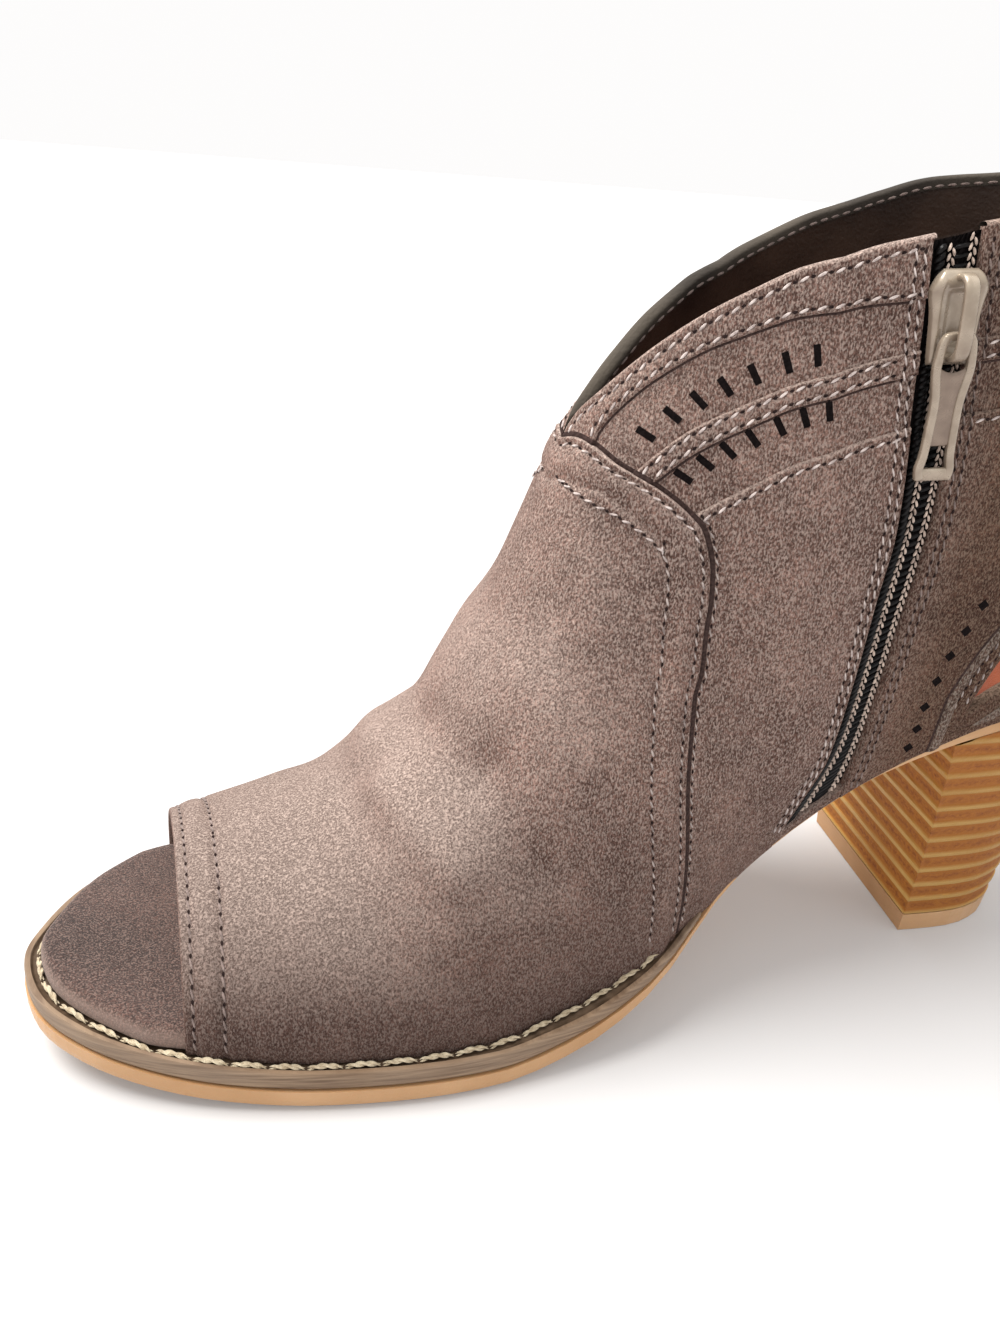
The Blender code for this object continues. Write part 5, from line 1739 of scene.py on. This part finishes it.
def strap(path, out, half_wide, half_thick, sides=14):
    """A rounded strap along a line of points, closed at both ends; sizes in mm."""
    path = np.asarray(path, float)
    run = unit(np.gradient(path, axis=0))
    out = np.broadcast_to(np.asarray(out, float), path.shape)
    cross = unit(np.cross(out, run))
    lift = np.cross(run, cross)
    angle = np.linspace(0, 2 * math.pi, sides, endpoint=False)
    c, s = np.cos(angle), np.sin(angle)
    wide = np.sign(c) * np.abs(c) ** 0.6 * half_wide
    high = np.sign(s) * np.abs(s) ** 0.6 * half_thick
    rings = path[:, None] + cross[:, None] * wide[None, :, None]
    rings = rings + lift[:, None] * high[None, :, None]
    ends = []
    for end, way in ((0, -1), (-1, 1)):
        for share, over in ((0.8, 0.35), (0.05, 0.5)):
            ring = path[end] + (rings[end] - path[end]) * share
            ends.append(ring + run[end] * way * over * half_thick)
    net = np.concatenate([[ends[1], ends[0]], rings, [ends[2], ends[3]]])
    count = len(net)
    faces = []
    for r in range(count - 1):
        for k in range(sides):
            n = (k + 1) % sides
            low, high_row = r * sides, (r + 1) * sides
            faces.append((low + k, low + n, high_row + n, high_row + k))
    return net.reshape(-1, 3), np.array(faces)


def even_line(rows, count):
    """A smooth line through rows of two or three numbers, with even steps."""
    rows = np.array(rows, float)
    fine = smooth_table(np.arange(len(rows)), rows, np.linspace(0, len(rows) - 1, count * 4))
    return pick(fine, np.linspace(0, len(fine) - 1, count))


def metal_piece(name, nets, turn, node_name, body, enamel):
    """Nets in mm in a frame of the zip, set in place as one piece of enamelled metal."""
    points, faces = join_nets(nets)
    turn = np.array(turn)
    points = points * MM @ turn[:3, :3].T + turn[:3, 3]
    made = piece(name, points, faces, enamel, "zip_metal", body)
    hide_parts(node_name)


def build_slider():
    """The slider: a crowned plate with shoulders, side walls and the arched bail."""
    outline = even_line(PLATE_HALF, 60)
    across = np.linspace(-1, 1, 41)
    along = np.repeat(outline[:, :1], 41, axis=1)
    x = outline[:, 1:] * across
    end = np.clip(1 - np.abs(along / 7.5) ** 14, 0, 1) ** 0.5
    side = np.clip(1 - np.abs(across) ** 10, 0, 1) ** 0.5
    under = np.clip((4.6 - np.abs(along)) / 0.8, 0, 1)
    keel = -0.85 * under * np.exp(-((x / 1.9) ** 4))
    keel = keel + 0.30 * np.exp(-(((np.abs(x) - 3.4) / 0.8) ** 2))
    neck = 0.5 * np.exp(-(((along - 5.2) / 1.4) ** 2))
    top = 0.5 + (1.15 + keel + neck) * end * side
    net = np.stack([x, along, top], axis=-1)
    low = np.stack([x, along, np.full_like(x, 0.5)], axis=-1)
    nets = [(net, net_faces(net)), (low, net_faces(low, flip=True))]
    line = even_line([(0.0, along, out) for along, out in BAIL_LINE], 60)
    centre = np.array([0.0, 0.0, 1.0])
    nets.append(strap(line, unit(line - centre), 1.25, 0.62))
    metal_piece("slider_body", nets, ZIP_FRAME, "zip_slider", "boot", METAL)


def build_pull():
    """The pull tab: two rounded rails, a recessed bare panel, an eye and a window."""
    half = even_line(TAB_HALF, 70)
    out = (0.0, 0.0, 1.0)
    nets = []
    for way in (-1, 1):
        rail = np.c_[way * (half[:, 1] - RAIL_HALF), -half[:, 0], np.zeros(len(half))]
        nets.append(strap(rail, out, RAIL_HALF, 0.72))
    reach = np.linspace(-1, 1, 24)
    crown = np.c_[reach * 2.1, 0.05 + 0.30 * (1 - reach**2), np.zeros(24)]
    nets.append(strap(crown, out, 0.72, 0.68))
    bar = np.c_[reach * 2.9, np.full(24, -22.95), np.zeros(24)]
    nets.append(strap(bar, out, 1.15, 0.60))
    share = np.linspace(0, 1, 50)
    below = PANEL_FROM + share * (PANEL_TO - PANEL_FROM)
    x = reach[None, :] * (np.interp(below, *half.T) - 0.9)[:, None]
    first = PANEL_FROM - 1.2 * np.abs(reach) ** 2
    down = first[None, :] * (1 - share[:, None]) + PANEL_TO * share[:, None]
    edge = 1 - np.abs(2 * share[:, None] - 1) ** 24
    thick = (0.30 + 0.10 * np.abs(reach[None, :]) ** 6) * np.clip(edge, 0, 1) ** 0.5
    front = np.stack([x, -down, thick], axis=-1)
    back = np.stack([x, -down, -thick], axis=-1)
    panel = [(front, net_faces(front)), (back, net_faces(back, flip=True))]
    turn = ZIP_FRAME @ Matrix.Translation(PIVOT) @ Matrix.Rotation(TAB_LEAN, 4, "X")
    metal_piece("pull_tab", nets, turn, "zip_pull", "pull", METAL)
    # The panel's darker enamel is partly its own colour and partly painted shade of its recess.
    metal_piece("pull_panel", panel, turn, "zip_pull", "pull", PANEL_METAL)


def dress_nodes():
    """Better materials for the CAD pieces whose shapes stay."""
    for name in ("outsole", "heel_tip"):
        for slot in bpy.data.objects[name].material_slots:
            slot.material = GUM


FLOOR_REACH, FLOOR_GAP = 4.0, 0.0002
# The fitted camera: azimuth, elevation and roll in degrees, focal length in pixels of the
# photograph, whose longer side is given too, and its place
CAMERA_ANGLES = (-20.694, 27.195, -5.268)
FOCAL_PIXELS, PHOTO_SIDE, SENSOR = 1040.26, 1333, 36
CAMERA_PLACE = (-0.089189, -0.173745, 0.164256)
SUN_PLACE, SUN_STRENGTH, SUN_WIDTH = (-0.45, 0.30, 1.0), 5.2, 40
SUN_COLOUR = (1.0, 0.975, 0.94)


def build_floor():
    """A wide pale floor under the boot."""
    along = np.linspace(-FLOOR_REACH, FLOOR_REACH, 24)
    x, y = np.meshgrid(along, along, indexing="ij")
    net = np.stack([x, y, np.full_like(x, -FLOOR_GAP)], axis=-1)
    data = bpy.data.meshes.new("floor")
    data.from_pydata(net.reshape(-1, 3).tolist(), [], net_faces(net).tolist())
    glow = {"Emission_Color": (1, 1, 1, 1), "Emission_Strength": 0.12}
    p = Paint("floor_paper", (0.53, 0.53, 0.535), 0.9, Specular_IOR_Level=0.1, **glow)
    tone = p.noise(9, 3, (0.3, 0.7))
    data.materials.append(p.finish(p.mix(tone, (0.51, 0.51, 0.515), (0.54, 0.54, 0.545))))
    floor = bpy.data.objects.new("floor", data)
    bpy.context.scene.collection.objects.link(floor)


def add_sun(place, strength, spread_degrees, colour):
    """A wide soft light that falls from a place towards the origin."""
    data = bpy.data.lights.new("window", "SUN")
    data.energy, data.angle, data.color = strength, math.radians(spread_degrees), colour
    light = bpy.data.objects.new("window", data)
    light.rotation_mode = "QUATERNION"
    light.rotation_quaternion = Vector(place).to_track_quat("Z", "Y")
    light.location = place
    bpy.context.scene.collection.objects.link(light)


def add_camera():
    """The photograph's camera: azimuth, elevation, roll and focal length."""
    azimuth, elevation, roll = map(math.radians, CAMERA_ANGLES)
    flat = math.cos(elevation)
    back = np.array([math.sin(azimuth) * flat, -math.cos(azimuth) * flat, math.sin(elevation)])
    right = unit(np.cross(-back, (0, 0, 1)))
    down = np.cross(-back, right)
    across = right * math.cos(roll) + down * math.sin(roll)
    below = -right * math.sin(roll) + down * math.cos(roll)
    turn = Matrix((across, -below, back)).transposed().to_4x4()
    data = bpy.data.cameras.new("camera")
    data.sensor_width = SENSOR
    data.lens = FOCAL_PIXELS * SENSOR / PHOTO_SIDE
    data.clip_start = 0.01
    camera = bpy.data.objects.new("camera", data)
    camera.matrix_world = Matrix.Translation(CAMERA_PLACE) @ turn
    bpy.context.scene.collection.objects.link(camera)
    bpy.context.scene.camera = camera


def add_world():
    """Even, nearly white surroundings."""
    world = bpy.data.worlds.new("studio")
    world.use_nodes = True
    background = world.node_tree.nodes["Background"]
    background.inputs["Color"].default_value = (1.0, 0.99, 0.985, 1)
    background.inputs["Strength"].default_value = 0.985
    bpy.context.scene.world = world
    bpy.context.scene.view_settings.view_transform = "Standard"


# Paints of one pattern: base colour, roughness, pattern, two colours and bump
TAPE = plain_paint(
    "zip_weave", (0.009, 0.007, 0.007), 0.95, (2200, 1, MIDDLE, (1, 1, 0.4)),
    (0.002, 0.0015, 0.0015), (0.009, 0.007, 0.007), (0.0002, 0.8), Specular_IOR_Level=0.03,
)
COIL = plain_paint(
    "zip_coil", (0.02, 0.017, 0.018), 0.32, (700, 2, MIDDLE),
    (0.0014, 0.0011, 0.0011), (0.0075, 0.006, 0.006), (0.00005, 0.4), Specular_IOR_Level=0.14,
)
METAL = metal_paint("zip_enamel", (0.34, 0.275, 0.205), (0.47, 0.39, 0.30))
# The panel's darker enamel is partly its own colour and partly painted shade of its recess.
PANEL_METAL = metal_paint("panel_enamel", (0.17, 0.120, 0.088), (0.25, 0.185, 0.138))
STACK = stack_paint()
WELT_SIDE_PAINT = welt_paint()
WELT_TOP_PAINT = plain_paint(
    "welt_channel", (0.075, 0.045, 0.026), 0.5, (420, 4, (0.35, 0.66)),
    (0.060, 0.036, 0.020), (0.135, 0.088, 0.055), (0.0001, 0.5), Specular_IOR_Level=0.4,
)
INSOLE_COVER = insole_paint()

build_vamp()
build_quarters()
for SIDE in (-1, 1):
    build_binding(SIDE)
build_zip_rows()
build_holes()
build_lining()
build_zip()
build_welt()
build_insole()
build_heel()
build_slider()
build_pull()
build_threads()
dress_nodes()
build_floor()
add_camera()
add_world()
add_sun(SUN_PLACE, SUN_STRENGTH, SUN_WIDTH, SUN_COLOUR)

bpy.context.view_layer.update()
